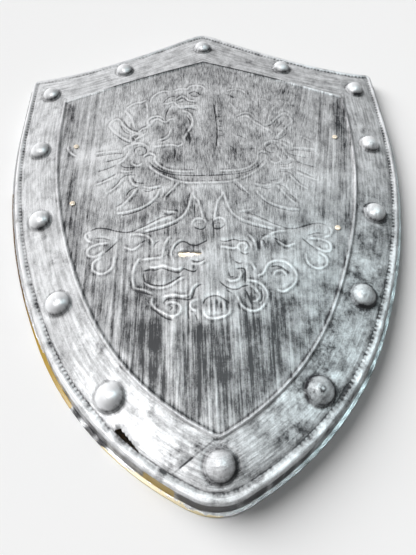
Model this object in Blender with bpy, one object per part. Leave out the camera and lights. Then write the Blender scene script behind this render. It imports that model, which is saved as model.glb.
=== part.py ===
"""Toy heater shield: one thin moulded sheet painted like steel, with a heraldic eagle in low relief.

Metres, +Z up. The shield lies face up on the flat underside of its lip, its top edge towards +Y and its
point towards -Y. The origin is on the ground, under the centre of the lip's box.
"""

import math

import bmesh
import bpy
import numpy as np
from mathutils import Vector
from mathutils.geometry import delaunay_2d_cdt

MM = 0.001

# Edge of the face, seen from above: heights along Y are measured from where the side starts to curve
HALF_WIDTH = 0.2285
CORNER_LEVEL = 0.0908
CORNER_RADIUS = 0.008
PEAK_RISE = 0.0758
PEAK_POWER = 1.664
PEAK_ROUNDING = 0.010
SIDE_RADIUS = 0.620
SIDE_SWEEP = math.radians(26.8)
POINT_SIDE_RADIUS = 0.305
POINT_RADIUS = 0.050

# Border band between the edge and the raised line round the field
BAND_WIDTH = 0.050
BAND_AT_PEAK = 0.0638
BAND_AT_CORNER = 0.052
FIELD_CORNER_RADIUS = 0.004
FIELD_POINT_RADIUS = 0.006
FIELD_LEAN = 0.002

# Heights of the face, wall and lip
FACE_HEIGHT = 0.030
FACE_BOW = 0.0115
BAND_FALL = 0.0045
SHEET = 0.002
WALL_FLARE = 0.0049
LIP_WIDTH = 0.004
LIP_THICKNESS = 0.002

# Raised lines: the rim's bead widens steadily from the sides towards the point
RIM_BEAD_WIDTH = 0.0058
RIM_BEAD_AT_POINT = 0.0082
RIM_BEAD_HEIGHT = 0.0018
RIM_BEAD_SHOULDER_SHARE = 0.25
FIELD_LINE_WIDTH = 0.0048
FIELD_LINE_HEIGHT = 0.0015

# Bosses: two distances run along the band's middle line from the peak, two are shares of the band's width
BOSS_RADIUS_TOP = 0.0115
BOSS_RADIUS_POINT = 0.0138
BOSS_HEIGHT_SHARE = 0.72
BOSS_RING_SHARES = (1.0, 0.8, 0.45)
BOSS_RING_SIDES = (12, 12, 6)
BOSS_HOLLOW_SHARES = (1.0, 0.6)
BOSS_HOLLOW_SIDES = (12, 6)
BOSSES_ON_SIDE = 4
BOSS_ON_TOP_EDGE = 0.113
BOSS_AT_CORNER = 0.2185
BOSS_TOP_SHARE = 0.46
BOSS_SIDE_SHARE = 0.58
BOSS_LOW_SHARE = 0.47
BOSS_ABOVE_POINT = 0.0030
BOSS_CROWDING_SHARE = 0.05

# Relief of the eagle: its drawing further down is in units of which its height has a given number
EAGLE_HEIGHT = 0.323
EAGLE_DRAWN_UNITS = 323.0
EAGLE_LINE_WIDTH = 0.0042
EAGLE_LINE_HEIGHT = 0.0014

# Damage
SLOT_START = (-0.0320, -0.0693)
SLOT_LENGTH = 0.0235
SLOT_TALL_END = 0.0068
SLOT_LOW_END = 0.0018
SLOT_SHARES = ((0.0, 0.45), (0.12, 1.0), (0.5, 1.0), (0.9, 1.0), (1.0, 0.45))
TEAR_FROM_POINT = 0.0735
TEAR_LENGTH = 0.027
TEAR_WIDTH = 0.0036
TEAR_FROM_BEAD = 0.0003
TEAR_SHARES = ((0.0, 0.2), (0.2, 0.7), (0.55, 1.0), (0.85, 0.8), (1.0, 0.3))

# Straps on the back and the rivets that hold them, each as its distance inside the field's side and its level
CLEARANCE = 0.0003
GRIP_RIVETS = ((0.0237, 0.0872), (0.0293, 0.0025))
ARM_RIVETS = ((0.0216, 0.0946), (0.0414, -0.0381))
STRAP_WIDTH = 0.024
STRAP_THICKNESS = 0.0022
STRAP_END = 0.009
STRAP_SLOPE = 0.017
STRAP_DROP = 0.0145
RIVET_HEAD_RADIUS = 0.0032
RIVET_HEAD_HEIGHT = 0.0012
RIVET_SHANK_RADIUS = 0.0015
RIVET_TAIL_RADIUS = 0.0030
RIVET_TAIL_HEIGHT = 0.0010
RIVET_SIDES = 12

# Fineness of the faceted surface, and how far its loose points keep from every line
TOP_STEPS = 9
CORNER_STEPS = 3
STRAIGHT_STEPS = 3
SIDE_STEPS = 7
POINT_SIDE_STEPS = 6
POINT_STEPS = 3
CURVE_STEP = 0.0088
SHORTEST_STEP = 0.0025
FIELD_GRID = 0.042
LOOSE_ROOM = 0.010


def arc(centre, radius, start, end, steps):
    """Points on an arc, angles in degrees."""
    angles = np.radians(np.linspace(start, end, steps + 1))
    return [(centre[0] + radius * math.cos(a), centre[1] + radius * math.sin(a)) for a in angles]


def side_path(half_width, start_y, corner_radius, turn_start, radii, point_radius):
    """Right side from the end of the top edge, round the corner and down to the point."""
    corner = (half_width - corner_radius, start_y)
    path = arc(corner, corner_radius, turn_start, 0.0, CORNER_STEPS)
    path += [(half_width, start_y * (1 - k / STRAIGHT_STEPS)) for k in range(1, STRAIGHT_STEPS + 1)]
    side_radius, lower_radius = radii
    side_centre = (half_width - side_radius, 0.0)
    sweep = math.degrees(SIDE_SWEEP)
    path += arc(side_centre, side_radius, 0.0, -sweep, SIDE_STEPS)[1:]
    reach = side_radius - lower_radius
    lower_centre = (
        side_centre[0] + reach * math.cos(SIDE_SWEEP),
        side_centre[1] - reach * math.sin(SIDE_SWEEP),
    )
    gap = lower_radius - point_radius
    point_centre_y = lower_centre[1] - math.sqrt(gap * gap - lower_centre[0] ** 2)
    meet = math.degrees(math.atan2(lower_centre[1] - point_centre_y, -lower_centre[0]))
    path += arc(lower_centre, lower_radius, -sweep, -meet, POINT_SIDE_STEPS)[1:]
    path += arc((0.0, point_centre_y), point_radius, -meet, -90.0, POINT_STEPS)[1:]
    path[-1] = (0.0, path[-1][1])
    return path


def edge_half():
    """Right half of the face's edge, from the peak to the point."""
    reach = HALF_WIDTH - CORNER_RADIUS
    span = math.hypot(reach, PEAK_ROUNDING) - PEAK_ROUNDING
    path = []
    for k in range(TOP_STEPS):
        x = reach * k / TOP_STEPS
        share = (math.hypot(x, PEAK_ROUNDING) - PEAK_ROUNDING) / span
        path.append((x, CORNER_LEVEL + PEAK_RISE * (1 - share) ** PEAK_POWER))
    radii = (SIDE_RADIUS, POINT_SIDE_RADIUS)
    return path + side_path(HALF_WIDTH, CORNER_LEVEL - CORNER_RADIUS, CORNER_RADIUS, 90.0, radii, POINT_RADIUS)


def field_half():
    """Right half of the raised line round the field, with as many points as the edge."""
    half_width = HALF_WIDTH - BAND_WIDTH
    peak_y = CORNER_LEVEL + PEAK_RISE - BAND_AT_PEAK
    slope = (peak_y - (CORNER_LEVEL - BAND_AT_CORNER)) / half_width
    lean = math.atan(slope)
    start_y = peak_y - slope * (half_width - FIELD_CORNER_RADIUS) - FIELD_CORNER_RADIUS / math.cos(lean)
    reach = half_width - FIELD_CORNER_RADIUS * (1 - math.sin(lean))
    path = [(reach * k / TOP_STEPS, peak_y - slope * reach * k / TOP_STEPS) for k in range(TOP_STEPS)]
    radii = (SIDE_RADIUS - BAND_WIDTH, POINT_SIDE_RADIUS - BAND_WIDTH)
    turn = 90.0 - math.degrees(lean)
    return path + side_path(half_width, start_y, FIELD_CORNER_RADIUS, turn, radii, FIELD_POINT_RADIUS)


def closed(half):
    """Whole outline from its right half, clockwise from the peak."""
    return np.array(half + [(-x, y) for x, y in reversed(half[1:-1])])


def offset(loop, distance):
    """The clockwise loop moved outwards by one distance, or by a distance for each point."""
    run = np.roll(loop, -1, axis=0) - np.roll(loop, 1, axis=0)
    normal = np.column_stack([-run[:, 1], run[:, 0]])
    normal /= np.linalg.norm(normal, axis=1)[:, None]
    return loop + normal * np.reshape(distance, (-1, 1))


def box_middle():
    """How far the middle of the lip's box lies above the datum that the outline is drawn from."""
    lip = offset(closed(edge_half()), WALL_FLARE + LIP_WIDTH)
    return (lip[:, 1].max() + lip[:, 1].min()) / 2


def leaning(loop):
    """The field's outline with its point drawn a little to one side, as it was moulded."""
    share = (loop[:, 1].max() - loop[:, 1]) / np.ptp(loop[:, 1])
    return loop + np.column_stack([FIELD_LEAN * share**8, share * 0.0])


EAGLE_UNIT = EAGLE_HEIGHT / EAGLE_DRAWN_UNITS
MIDDLE = np.array([0.0, box_middle()])
EDGE = closed(edge_half()) - MIDDLE
FIELD = leaning(closed(field_half()) - MIDDLE)
HALF_COUNT = len(edge_half())


def distance_to(path, points):
    """Distance of each point from a polyline."""
    start = path[:-1]
    run = path[1:] - start
    length = np.maximum((run**2).sum(axis=1), 1e-12)
    share = np.clip(((points[:, None, :] - start) * run).sum(axis=2) / length, 0.0, 1.0)
    away = points[:, None, :] - (start + share[..., None] * run)
    return np.sqrt((away**2).sum(axis=2)).min(axis=1)


def ring_distance(loop, points):
    return distance_to(np.vstack([loop, loop[:1]]), points)


def inside(loop, points):
    """Whether each point is inside a closed loop."""
    x, y = points[:, 0:1], points[:, 1:2]
    x0, y0 = loop[:, 0], loop[:, 1]
    x1, y1 = np.roll(x0, -1), np.roll(y0, -1)
    spans = (y0 > y) != (y1 > y)
    run = np.where(y1 == y0, 1.0, y1 - y0)
    return (spans & (x < (x1 - x0) * (y - y0) / run + x0)).sum(axis=1) % 2 == 1


def face_height(points):
    """Height of the plain face: bowed from side to side, with the band falling away to the edge."""
    to_field = ring_distance(FIELD, points)
    to_edge = ring_distance(EDGE, points)
    share = np.where(inside(FIELD, points), 0.0, to_field / np.maximum(to_field + to_edge, 1e-9))
    return FACE_HEIGHT - FACE_BOW * (points[:, 0] / HALF_WIDTH) ** 2 - BAND_FALL * share**2


def height_at(x, y):
    return float(face_height(np.array([[x, y]]))[0])


def bead_width(points):
    """Width of the rim's bead beside each point."""
    widest = -MIDDLE[1]
    share = np.clip((widest - points[:, 1]) / (widest - EDGE[:, 1].min()), 0.0, 1.0)
    return RIM_BEAD_WIDTH + (RIM_BEAD_AT_POINT - RIM_BEAD_WIDTH) * share


def boss_places():
    """Centre and radius of every boss on the middle line of the band."""
    edge, field = EDGE[:HALF_COUNT], FIELD[:HALF_COUNT]
    middle = (edge + field) / 2
    lengths = np.concatenate([[0.0], np.cumsum(np.linalg.norm(np.diff(middle, axis=0), axis=1))])
    span = lengths[-1] - BOSS_AT_CORNER
    stops = [(BOSS_ON_TOP_EDGE, BOSS_TOP_SHARE), (BOSS_AT_CORNER, BOSS_SIDE_SHARE)]
    for k in range(1, BOSSES_ON_SIDE + 1):
        share = k / (BOSSES_ON_SIDE + 1)
        stop = BOSS_AT_CORNER + span * share * (1 - BOSS_CROWDING_SHARE * (1 - share))
        stops.append((stop, BOSS_SIDE_SHARE + (BOSS_LOW_SHARE - BOSS_SIDE_SHARE) * share))
    right = []
    for stop, across in stops:
        line = edge + (field - edge) * across
        right.append((np.interp(stop, lengths, line[:, 0]), np.interp(stop, lengths, line[:, 1])))
    top = middle[0]
    point = middle[-1] + (FIELD_LEAN / 2, BOSS_ABOVE_POINT)
    places = [tuple(top)] + right + [tuple(point)] + [(-x, y) for x, y in right]
    growth = (BOSS_RADIUS_POINT - BOSS_RADIUS_TOP) / (top[1] - point[1])
    return [((x, y), BOSS_RADIUS_TOP + growth * (top[1] - y)) for x, y in places]


def cap_height(points, centre, radius, height):
    """Height of a spherical cap over its flat base, zero outside."""
    ball = (radius**2 + height**2) / (2 * height)
    away = np.hypot(points[:, 0] - centre[0], points[:, 1] - centre[1])
    rise = np.sqrt(np.maximum(ball**2 - away**2, 0.0)) - (ball - height)
    return np.where(away < radius, np.maximum(rise, 0.0), 0.0)


# The eagle's drawing: every function returns lines of points in the drawing's units


def curve(*points):
    """Smooth line through a few points."""
    p = np.array(points, dtype=float)
    p = np.vstack([2 * p[0] - p[1], p, 2 * p[-1] - p[-2]])
    line = []
    for a, b, c, d in zip(p, p[1:], p[2:], p[3:]):
        steps = max(1, round(np.linalg.norm(c - b) * EAGLE_UNIT / CURVE_STEP))
        for t in np.arange(steps) / steps:
            line.append(0.5 * (2 * b + (c - a) * t + (2 * a - 5 * b + 4 * c - d) * t**2 + (3 * b - a - 3 * c + d) * t**3))
    return np.array(line + [p[-2]])


def scroll(centre, radius, inner_radius, start, turns):
    """Spiral line from the outer radius inwards; positive turns run anticlockwise."""
    steps = max(4, round(abs(turns) * math.pi * (radius + inner_radius) * EAGLE_UNIT / CURVE_STEP))
    line = []
    for k in range(steps + 1):
        share = k / steps
        angle = math.radians(start) + 2 * math.pi * turns * share
        reach = radius + (inner_radius - radius) * share
        line.append((centre[0] + reach * math.cos(angle), centre[1] + reach * math.sin(angle)))
    return np.array(line)


def feather(root, tip, root_half, tip_half):
    """Outline of one feather: narrow at its root, wide and round at its tip."""
    root, tip = np.array(root, dtype=float), np.array(tip, dtype=float)
    along = (tip - root) / np.linalg.norm(tip - root)
    across = np.array([-along[1], along[0]])
    shoulder = tip - along * tip_half
    return curve(
        root + across * root_half,
        shoulder + across * tip_half,
        shoulder + across * tip_half * 0.7 + along * tip_half * 0.75,
        tip,
        shoulder - across * tip_half * 0.7 + along * tip_half * 0.75,
        shoulder - across * tip_half,
        root - across * root_half,
    )


def wing():
    """Left wing: a fan of feathers, two hooked leaves on top and the scalloped arm of the wing."""
    lines = []
    feathers = 7
    centre = np.array((-72.0, 62.0))
    for k in range(feathers):
        angle = math.radians(162.0 + 15.6 * k)
        way = np.array((math.cos(angle), math.sin(angle)))
        reach = 64.0 + 20.0 * min(1.0, k / 4)
        lines.append(feather(centre + way * 28.0, centre + way * reach, 2.6, 7.4))
    lines.append(curve((-88, 112), (-98, 124), (-100, 140), (-92, 152), (-80, 156), (-71, 148), (-71, 130)))
    lines.append(curve((-80, 107), (-92, 114), (-103, 128), (-113, 126), (-118, 114), (-106, 99), (-89, 88)))
    lines.append(curve((-80, 107), (-70, 116), (-65, 127), (-56, 129), (-48, 121), (-38, 125)))
    lines.append(curve((-89, 88), (-90, 97), (-78, 101), (-68, 92)))
    lines.append(curve((-92, 38), (-82, 28), (-70, 26), (-62, 17), (-50, 19), (-44, 9), (-32, 24)))
    return lines


def crescent():
    """Left half of the crescent across the breast, with the trefoil that ends it."""
    return [
        curve((0, 34), (-25, 35), (-44, 41), (-60, 52), (-67, 62)),
        curve((0, 24), (-27, 25), (-46, 32), (-60, 42), (-73, 55)),
        scroll((-78, 77), 8.5, 8.5, -60, 0.8),
        curve((-74, 64), (-67, 70), (-60, 66), (-60, 59)),
        curve((-84, 66), (-92, 60), (-88, 52), (-79, 51)),
    ]


def head_and_neck():
    """Head turned to the left, with beak, tongue and eye, and the neck with its row of short bars."""
    lines = [
        curve((-20, 167), (-13, 172), (-5, 167), (-13, 163), (-20, 167)),
        curve((-66, 160), (-60, 171), (-46, 175), (-24, 177), (-12, 184), (2, 180), (8, 172)),
        curve((-50, 159), (-38, 164), (-27, 162), (-18, 155), (-9, 153)),
        curve((-50, 152), (-38, 155), (-31, 148), (-20, 149), (-9, 148)),
        curve((-40, 150), (-33, 142), (-21, 142), (-9, 139)),
        curve((-40, 150), (-46, 140), (-49, 128)),
        curve((-26, 139), (-17, 126), (-21, 108), (-24, 92), (-33, 82), (-58, 79)),
        curve((18, 154), (16, 130), (18, 106), (27, 86), (40, 80), (58, 79)),
        curve((28, 170), (39, 177), (52, 173), (59, 161)),
        curve((30, 152), (38, 160), (48, 156), (52, 146)),
    ]
    bars = 8
    for k in range(bars):
        level = 148.0 - 7.0 * k
        lines.append(np.array(((18.5, level), (25.0, level - 1.5))))
    return lines


def leg():
    """Left leg, swung out to the side, with three toes and a heel."""
    return [
        curve((-16, 16), (-18, 0), (-23, -17), (-42, -27), (-58, -35), (-72, -38), (-88, -46)),
        curve((-32, -14), (-50, -23), (-66, -32), (-82, -39), (-98, -37), (-114, -33), (-127, -37)),
        curve((-127, -37), (-128, -45), (-119, -48), (-104, -48)),
        curve((-104, -52), (-119, -53), (-128, -60), (-121, -67), (-107, -61)),
        curve((-110, -66), (-119, -75), (-114, -86), (-101, -84), (-97, -70)),
        curve((-88, -46), (-92, -57), (-80, -60), (-72, -53)),
        curve((-50, -14), (-42, -15), (-34, -18)),
    ]


def body():
    """Middle of the body below the crescent, with its small ring."""
    return [
        curve((-10, 16), (-12, 2), (-4, -14), (-2, -26)),
        curve((10, 16), (12, 2), (8, -14), (12, -28)),
        scroll((-9, -32), 6.5, 6.5, 60, 0.9),
        scroll((19, -31), 6.5, 6.5, 120, -0.9),
    ]


def tail():
    """Scrolled tail."""
    return [
        curve((0, -49), (-10, -57), (-20, -58), (-30, -54), (-38, -64), (-36, -80)),
        curve((4, -49), (14, -55), (28, -54), (38, -58), (43, -68)),
        scroll((35, -66), 8.0, 3.0, 0, -1.1),
        curve((-46, -50), (-50, -62), (-46, -76)),
        curve((-38, -76), (-54, -73), (-70, -76), (-78, -92), (-72, -107), (-58, -113), (-58, -126), (-46, -137)),
        scroll((-39, -129), 10.0, 4.0, 230, 1.0),
        curve((-6, -84), (-17, -90), (-27, -87), (-42, -88), (-58, -86), (-66, -94), (-58, -103), (-46, -105), (-22, -95)),
        curve((-46, -119), (-32, -118), (-20, -118), (-14, -107), (-5, -105)),
        scroll((-15, -128), 5.5, 5.5, 0, 0.9),
        curve((-8, -139), (-9, -126), (2, -117), (13, -125), (15, -139)),
        scroll((22, -90), 9.0, 5.0, 150, 1.1),
        scroll((38, -117), 16.5, 5.0, 115, 1.5),
        scroll((69, -95), 18.0, 5.0, 160, -1.5),
        curve((46, -99), (38, -84), (27, -77), (12, -78)),
        curve((10, -98), (14, -107), (23, -110)),
    ]


def eagle_lines():
    """All lines of the eagle in metres, both sides."""
    one_sided = head_and_neck() + body() + tail()
    both = wing() + crescent() + leg()
    mirrored = [line * (-1, 1) for line in both]
    return [line * EAGLE_UNIT for line in one_sided + both + mirrored]


def slit(spine, widths):
    """Outline of a slit around its middle line."""
    across = np.gradient(spine, axis=0)
    across = np.column_stack([-across[:, 1], across[:, 0]])
    across /= np.linalg.norm(across, axis=1)[:, None]
    half = np.array(widths)[:, None] / 2
    return np.vstack([spine + across * half, (spine - across * half)[::-1]])


def slot():
    """The pointed slot in the eagle's tail, tall at its left end."""
    shares, fullness = np.array(SLOT_SHARES).T
    spine = np.array(SLOT_START) + np.column_stack([shares * SLOT_LENGTH, shares * 0.0])
    widths = SLOT_TALL_END + (SLOT_LOW_END - SLOT_TALL_END) * shares
    return slit(spine, widths * fullness)


def tear():
    """The tear beside the rim's bead, left of the point."""
    shares, fullness = np.array(TEAR_SHARES).T
    path = offset(EDGE, -(bead_width(EDGE) + TEAR_FROM_BEAD + TEAR_WIDTH / 2))[HALF_COUNT - 1:]
    lengths = np.concatenate([[0.0], np.cumsum(np.linalg.norm(np.diff(path, axis=0), axis=1))])
    places = TEAR_FROM_POINT + TEAR_LENGTH * shares
    spine = np.column_stack([np.interp(places, lengths, path[:, 0]), np.interp(places, lengths, path[:, 1])])
    return slit(spine, TEAR_WIDTH * fullness)


def strap_ends(rivets, side):
    """Where a strap's two rivets are: side is -1 on the left and 1 on the right."""
    return [(side * (HALF_WIDTH - BAND_WIDTH - inset), level) for inset, level in rivets]


def rivet_places():
    return strap_ends(GRIP_RIVETS, -1) + strap_ends(ARM_RIVETS, 1)


def hole_loops():
    """Outlines of everything that is open right through the sheet."""
    loops = [slot(), tear()]
    radius = RIVET_SHANK_RADIUS + CLEARANCE
    for place in rivet_places():
        loops.append(np.array(arc(place, radius, 0.0, 330.0, 11)))
    return loops


def clear_runs(line, holes, room):
    """The parts of a line that keep clear of the holes and of the line round the field."""
    keep = inside(FIELD, line) & (ring_distance(FIELD, line) > room + FIELD_LINE_WIDTH / 2)
    for hole in holes:
        keep &= ring_distance(hole, line) > room
    runs = []
    run = []
    for point, kept in zip(line, keep):
        if kept:
            run.append(point)
            continue
        runs.append(run)
        run = []
    runs.append(run)
    return [np.array(r) for r in runs if len(r) > 1]


def tidy_line(line):
    """Drops points that stand closer together than the shortest step."""
    kept = [line[0]]
    for point in line[1:]:
        if np.linalg.norm(point - kept[-1]) > SHORTEST_STEP:
            kept.append(point)
    return np.array(kept)


def foot_loop(line):
    """Outline of the foot of a raised line, pointed at both ends."""
    run = np.gradient(line, axis=0)
    run /= np.maximum(np.linalg.norm(run, axis=1), 1e-12)[:, None]
    across = np.column_stack([-run[:, 1], run[:, 0]]) * EAGLE_LINE_WIDTH / 2
    start = line[:1] - run[:1] * EAGLE_LINE_WIDTH / 2
    end = line[-1:] + run[-1:] * EAGLE_LINE_WIDTH / 2
    return np.vstack([start, line + across, end, (line - across)[::-1]])


def triangulate(loops, lines, loose, domain, holes):
    """Plan triangles of a domain, with loops and lines as their edges.

    Gives the points, the triangles and, for each loop, its points' numbers in order.
    """
    points = []
    edges = []
    numbers = []
    for loop in loops:
        first = len(points)
        points.extend(loop)
        count = len(loop)
        edges.extend((first + k, first + (k + 1) % count) for k in range(count))
        numbers.append(range(first, first + count))
    for line in lines:
        first = len(points)
        points.extend(line)
        edges.extend((first + k, first + k + 1) for k in range(len(line) - 1))
    points.extend(loose)
    flat = [Vector((p[0] / MM, p[1] / MM)) for p in points]
    verts, _, faces, origins, _, _ = delaunay_2d_cdt(flat, edges, [], 0, 0.05)
    place = np.array([(v.x, v.y) for v in verts]) * MM
    for k, group in enumerate(origins):
        if group:
            place[k] = points[min(group)]
    moved = {old: new for new, group in enumerate(origins) for old in group}
    triangles = np.array([tuple(f) for f in faces])
    centres = place[triangles].mean(axis=1)
    keep = inside(domain, centres)
    for hole in holes:
        keep &= ~inside(hole, centres)
    return place, triangles[keep], [[moved[n] for n in row] for row in numbers]


def field_points(lines, holes):
    """Loose points over the field, clear of all lines, so that its bow is followed."""
    xs = np.arange(-HALF_WIDTH, HALF_WIDTH + FIELD_GRID, FIELD_GRID)
    ys = np.arange(EDGE[:, 1].min(), EDGE[:, 1].max() + FIELD_GRID, FIELD_GRID)
    grid = np.array([(x, y) for x in xs for y in ys])
    keep = inside(FIELD, grid) & (ring_distance(FIELD, grid) > LOOSE_ROOM)
    for line in lines:
        keep &= distance_to(line, grid) > LOOSE_ROOM
    for hole in holes:
        keep &= ring_distance(hole, grid) > LOOSE_ROOM
    return list(grid[keep])


def band_points(bosses, holes):
    """Loose points on the middle line of the band, clear of the bosses."""
    middle = (EDGE + FIELD) / 2
    keep = np.ones(len(middle), dtype=bool)
    for centre, radius in bosses:
        keep &= np.hypot(middle[:, 0] - centre[0], middle[:, 1] - centre[1]) > radius + RIM_BEAD_WIDTH
    for hole in holes:
        keep &= ring_distance(hole, middle) > RIM_BEAD_WIDTH
    return list(middle[keep])


def ring(centre, radius, sides):
    return np.array(arc(centre, radius, 0.0, 360.0 * (sides - 1) / sides, sides - 1))


def outer_face(holes, bosses):
    """The face that is seen, with its raised lines, bosses and eagle."""
    half_line = FIELD_LINE_WIDTH / 2
    strokes = []
    for line in eagle_lines():
        strokes += [tidy_line(run) for run in clear_runs(line, holes, EAGLE_LINE_WIDTH)]
    strokes = [line for line in strokes if len(line) > 1]
    loops = [EDGE]
    loops += holes
    for share in (RIM_BEAD_SHOULDER_SHARE, 1 - RIM_BEAD_SHOULDER_SHARE, 1.0):
        loops.append(offset(EDGE, -bead_width(EDGE) * share))
    loops += [offset(FIELD, half_line), FIELD, offset(FIELD, -half_line)]
    loose = field_points(strokes, holes) + band_points(bosses, holes)
    for centre, radius in bosses:
        loops += [ring(centre, radius * share, n) for share, n in zip(BOSS_RING_SHARES, BOSS_RING_SIDES)]
        loose.append(centre)
    loops += [foot_loop(line) for line in strokes]
    place, triangles, rows = triangulate(loops, strokes, loose, EDGE, holes)
    height = face_height(place)
    to_edge = ring_distance(EDGE, place)
    width = bead_width(place)
    bead = np.minimum(to_edge, width - to_edge) / (RIM_BEAD_SHOULDER_SHARE * width)
    height += RIM_BEAD_HEIGHT * np.clip(bead, 0.0, 1.0)
    height += FIELD_LINE_HEIGHT * np.maximum(1 - ring_distance(FIELD, place) / half_line, 0.0)
    for centre, radius in bosses:
        height += cap_height(place, centre, radius, radius * BOSS_HEIGHT_SHARE)
    relief = np.zeros(len(place))
    for line in strokes:
        relief = np.maximum(relief, 1 - distance_to(line, place) / (EAGLE_LINE_WIDTH / 2))
    height += EAGLE_LINE_HEIGHT * relief
    return np.column_stack([place, height]), triangles, rows


def inner_face(holes, bosses, rim):
    """The back of the face, a sheet's thickness below, hollow under the bosses."""
    loops = [rim] + holes + [FIELD]
    loose = field_points([], holes) + band_points(bosses, holes)
    for centre, radius in bosses:
        hollow = radius - SHEET
        loops += [ring(centre, hollow * share, n) for share, n in zip(BOSS_HOLLOW_SHARES, BOSS_HOLLOW_SIDES)]
        loose.append(centre)
    place, triangles, rows = triangulate(loops, [], loose, rim, holes)
    height = face_height(place) - SHEET
    for centre, radius in bosses:
        height += cap_height(place, centre, radius - SHEET, radius * BOSS_HEIGHT_SHARE)
    return np.column_stack([place, height]), triangles, rows


def wall_inset():
    """Horizontal thickness of the slanted wall."""
    drop = FACE_HEIGHT - FACE_BOW / 2 - BAND_FALL
    return SHEET / math.cos(math.atan(WALL_FLARE / drop))


def material(name, colour, roughness, metallic):
    paint = bpy.data.materials.new(name)
    paint.use_nodes = True
    shader = paint.node_tree.nodes["Principled BSDF"]
    shader.inputs["Base Color"].default_value = (*colour, 1.0)
    shader.inputs["Roughness"].default_value = roughness
    shader.inputs["Metallic"].default_value = metallic
    return paint


def new_object(name, verts, faces, paint):
    """A closed mesh object with its faces turned outwards."""
    mesh = bpy.data.meshes.new(name)
    mesh.from_pydata([tuple(map(float, v)) for v in verts], [], [tuple(map(int, f)) for f in faces])
    shape = bmesh.new()
    shape.from_mesh(mesh)
    bmesh.ops.recalc_face_normals(shape, faces=shape.faces)
    shape.to_mesh(mesh)
    shape.free()
    mesh.materials.append(paint)
    thing = bpy.data.objects.new(name, mesh)
    bpy.context.scene.collection.objects.link(thing)
    return thing


def build_shell(paint):
    """The moulded sheet: face, flared wall and lip in one."""
    holes = hole_loops()
    bosses = boss_places()
    inset = wall_inset()
    outer_lip = WALL_FLARE + LIP_WIDTH
    front, front_faces, front_rows = outer_face(holes, bosses)
    back, back_faces, back_rows = inner_face(holes, bosses, offset(EDGE, -inset))
    verts = list(front)
    faces = [tuple(f) for f in front_faces]
    shift = len(verts)
    verts += list(back)
    faces += [tuple(n + shift for n in reversed(f)) for f in back_faces]
    profile = (
        (WALL_FLARE, LIP_THICKNESS),
        (outer_lip, LIP_THICKNESS),
        (outer_lip, 0.0),
        (WALL_FLARE - inset, 0.0),
    )
    rows = [front_rows[0]]
    for distance, level in profile:
        first = len(verts)
        verts += [(x, y, level) for x, y in offset(EDGE, distance)]
        rows.append(list(range(first, len(verts))))
    rows.append([n + shift for n in back_rows[0]])
    pairs = list(zip(rows, rows[1:]))
    pairs += [(f, [n + shift for n in b]) for f, b in zip(front_rows[1:1 + len(holes)], back_rows[1:])]
    for upper, lower in pairs:
        count = len(upper)
        for k in range(count):
            after = (k + 1) % count
            faces.append((upper[k], upper[after], lower[after], lower[k]))
    return new_object("shield_shell", verts, faces, paint)


def strap_profile(length):
    """Side view of a strap: distance along it, and how far it hangs below the back of the face."""
    seat = STRAP_END
    points = [(-STRAP_END, 0.0), (seat, 0.0)]
    steps = 6
    for k in range(1, steps + 1):
        share = k / steps
        points.append((seat + STRAP_SLOPE * share, -STRAP_DROP * (1 - math.cos(math.pi * share)) / 2))
    far = [(length - t, z) for t, z in reversed(points)]
    return np.array(points + far)


def build_strap(name, ends, paint):
    """A flat strap held by a rivet near each end, slack under the face."""
    start, end = np.array(ends[0]), np.array(ends[1])
    length = np.linalg.norm(end - start)
    along = (end - start) / length
    across = np.array([-along[1], along[0]])
    profile = strap_profile(length)
    run = np.gradient(profile, axis=0)
    normal = np.column_stack([-run[:, 1], run[:, 0]])
    normal /= np.linalg.norm(normal, axis=1)[:, None]
    columns = 3
    verts = []
    for side in (1, -1):
        lines = profile + normal * side * STRAP_THICKNESS / 2
        for t, z in lines:
            for column in range(columns):
                place = start + along * t + across * STRAP_WIDTH * (column / (columns - 1) - 0.5)
                seat = height_at(*place) - SHEET - CLEARANCE - STRAP_THICKNESS / 2
                verts.append((place[0], place[1], seat + z))
    count = len(profile)
    layer = count * columns
    faces = []
    for row in range(count - 1):
        for column in range(columns - 1):
            a = row * columns + column
            quad = (a, a + 1, a + columns + 1, a + columns)
            faces.append(quad)
            faces.append(tuple(n + layer for n in reversed(quad)))
        for column in (0, columns - 1):
            a = row * columns + column
            faces.append((a, a + columns, a + columns + layer, a + layer))
    for row in (0, count - 1):
        for column in range(columns - 1):
            a = row * columns + column
            faces.append((a, a + 1, a + 1 + layer, a + layer))
    strap = new_object(name, verts, faces, paint)
    for index, place in enumerate(ends):
        drill(strap, f"{name}_hole_{index + 1}", place)
    return strap


def drill(thing, name, place):
    """A rivet hole through a strap."""
    bpy.ops.mesh.primitive_cylinder_add(
        vertices=RIVET_SIDES,
        radius=RIVET_SHANK_RADIUS + CLEARANCE,
        depth=FACE_HEIGHT,
        location=(place[0], place[1], height_at(*place) - FACE_HEIGHT / 4),
    )
    cutter = bpy.context.object
    cutter.name = name
    cutter.hide_render = True
    cutter.display_type = "WIRE"
    cut = thing.modifiers.new(name, "BOOLEAN")
    cut.operation = "DIFFERENCE"
    cut.object = cutter


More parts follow.
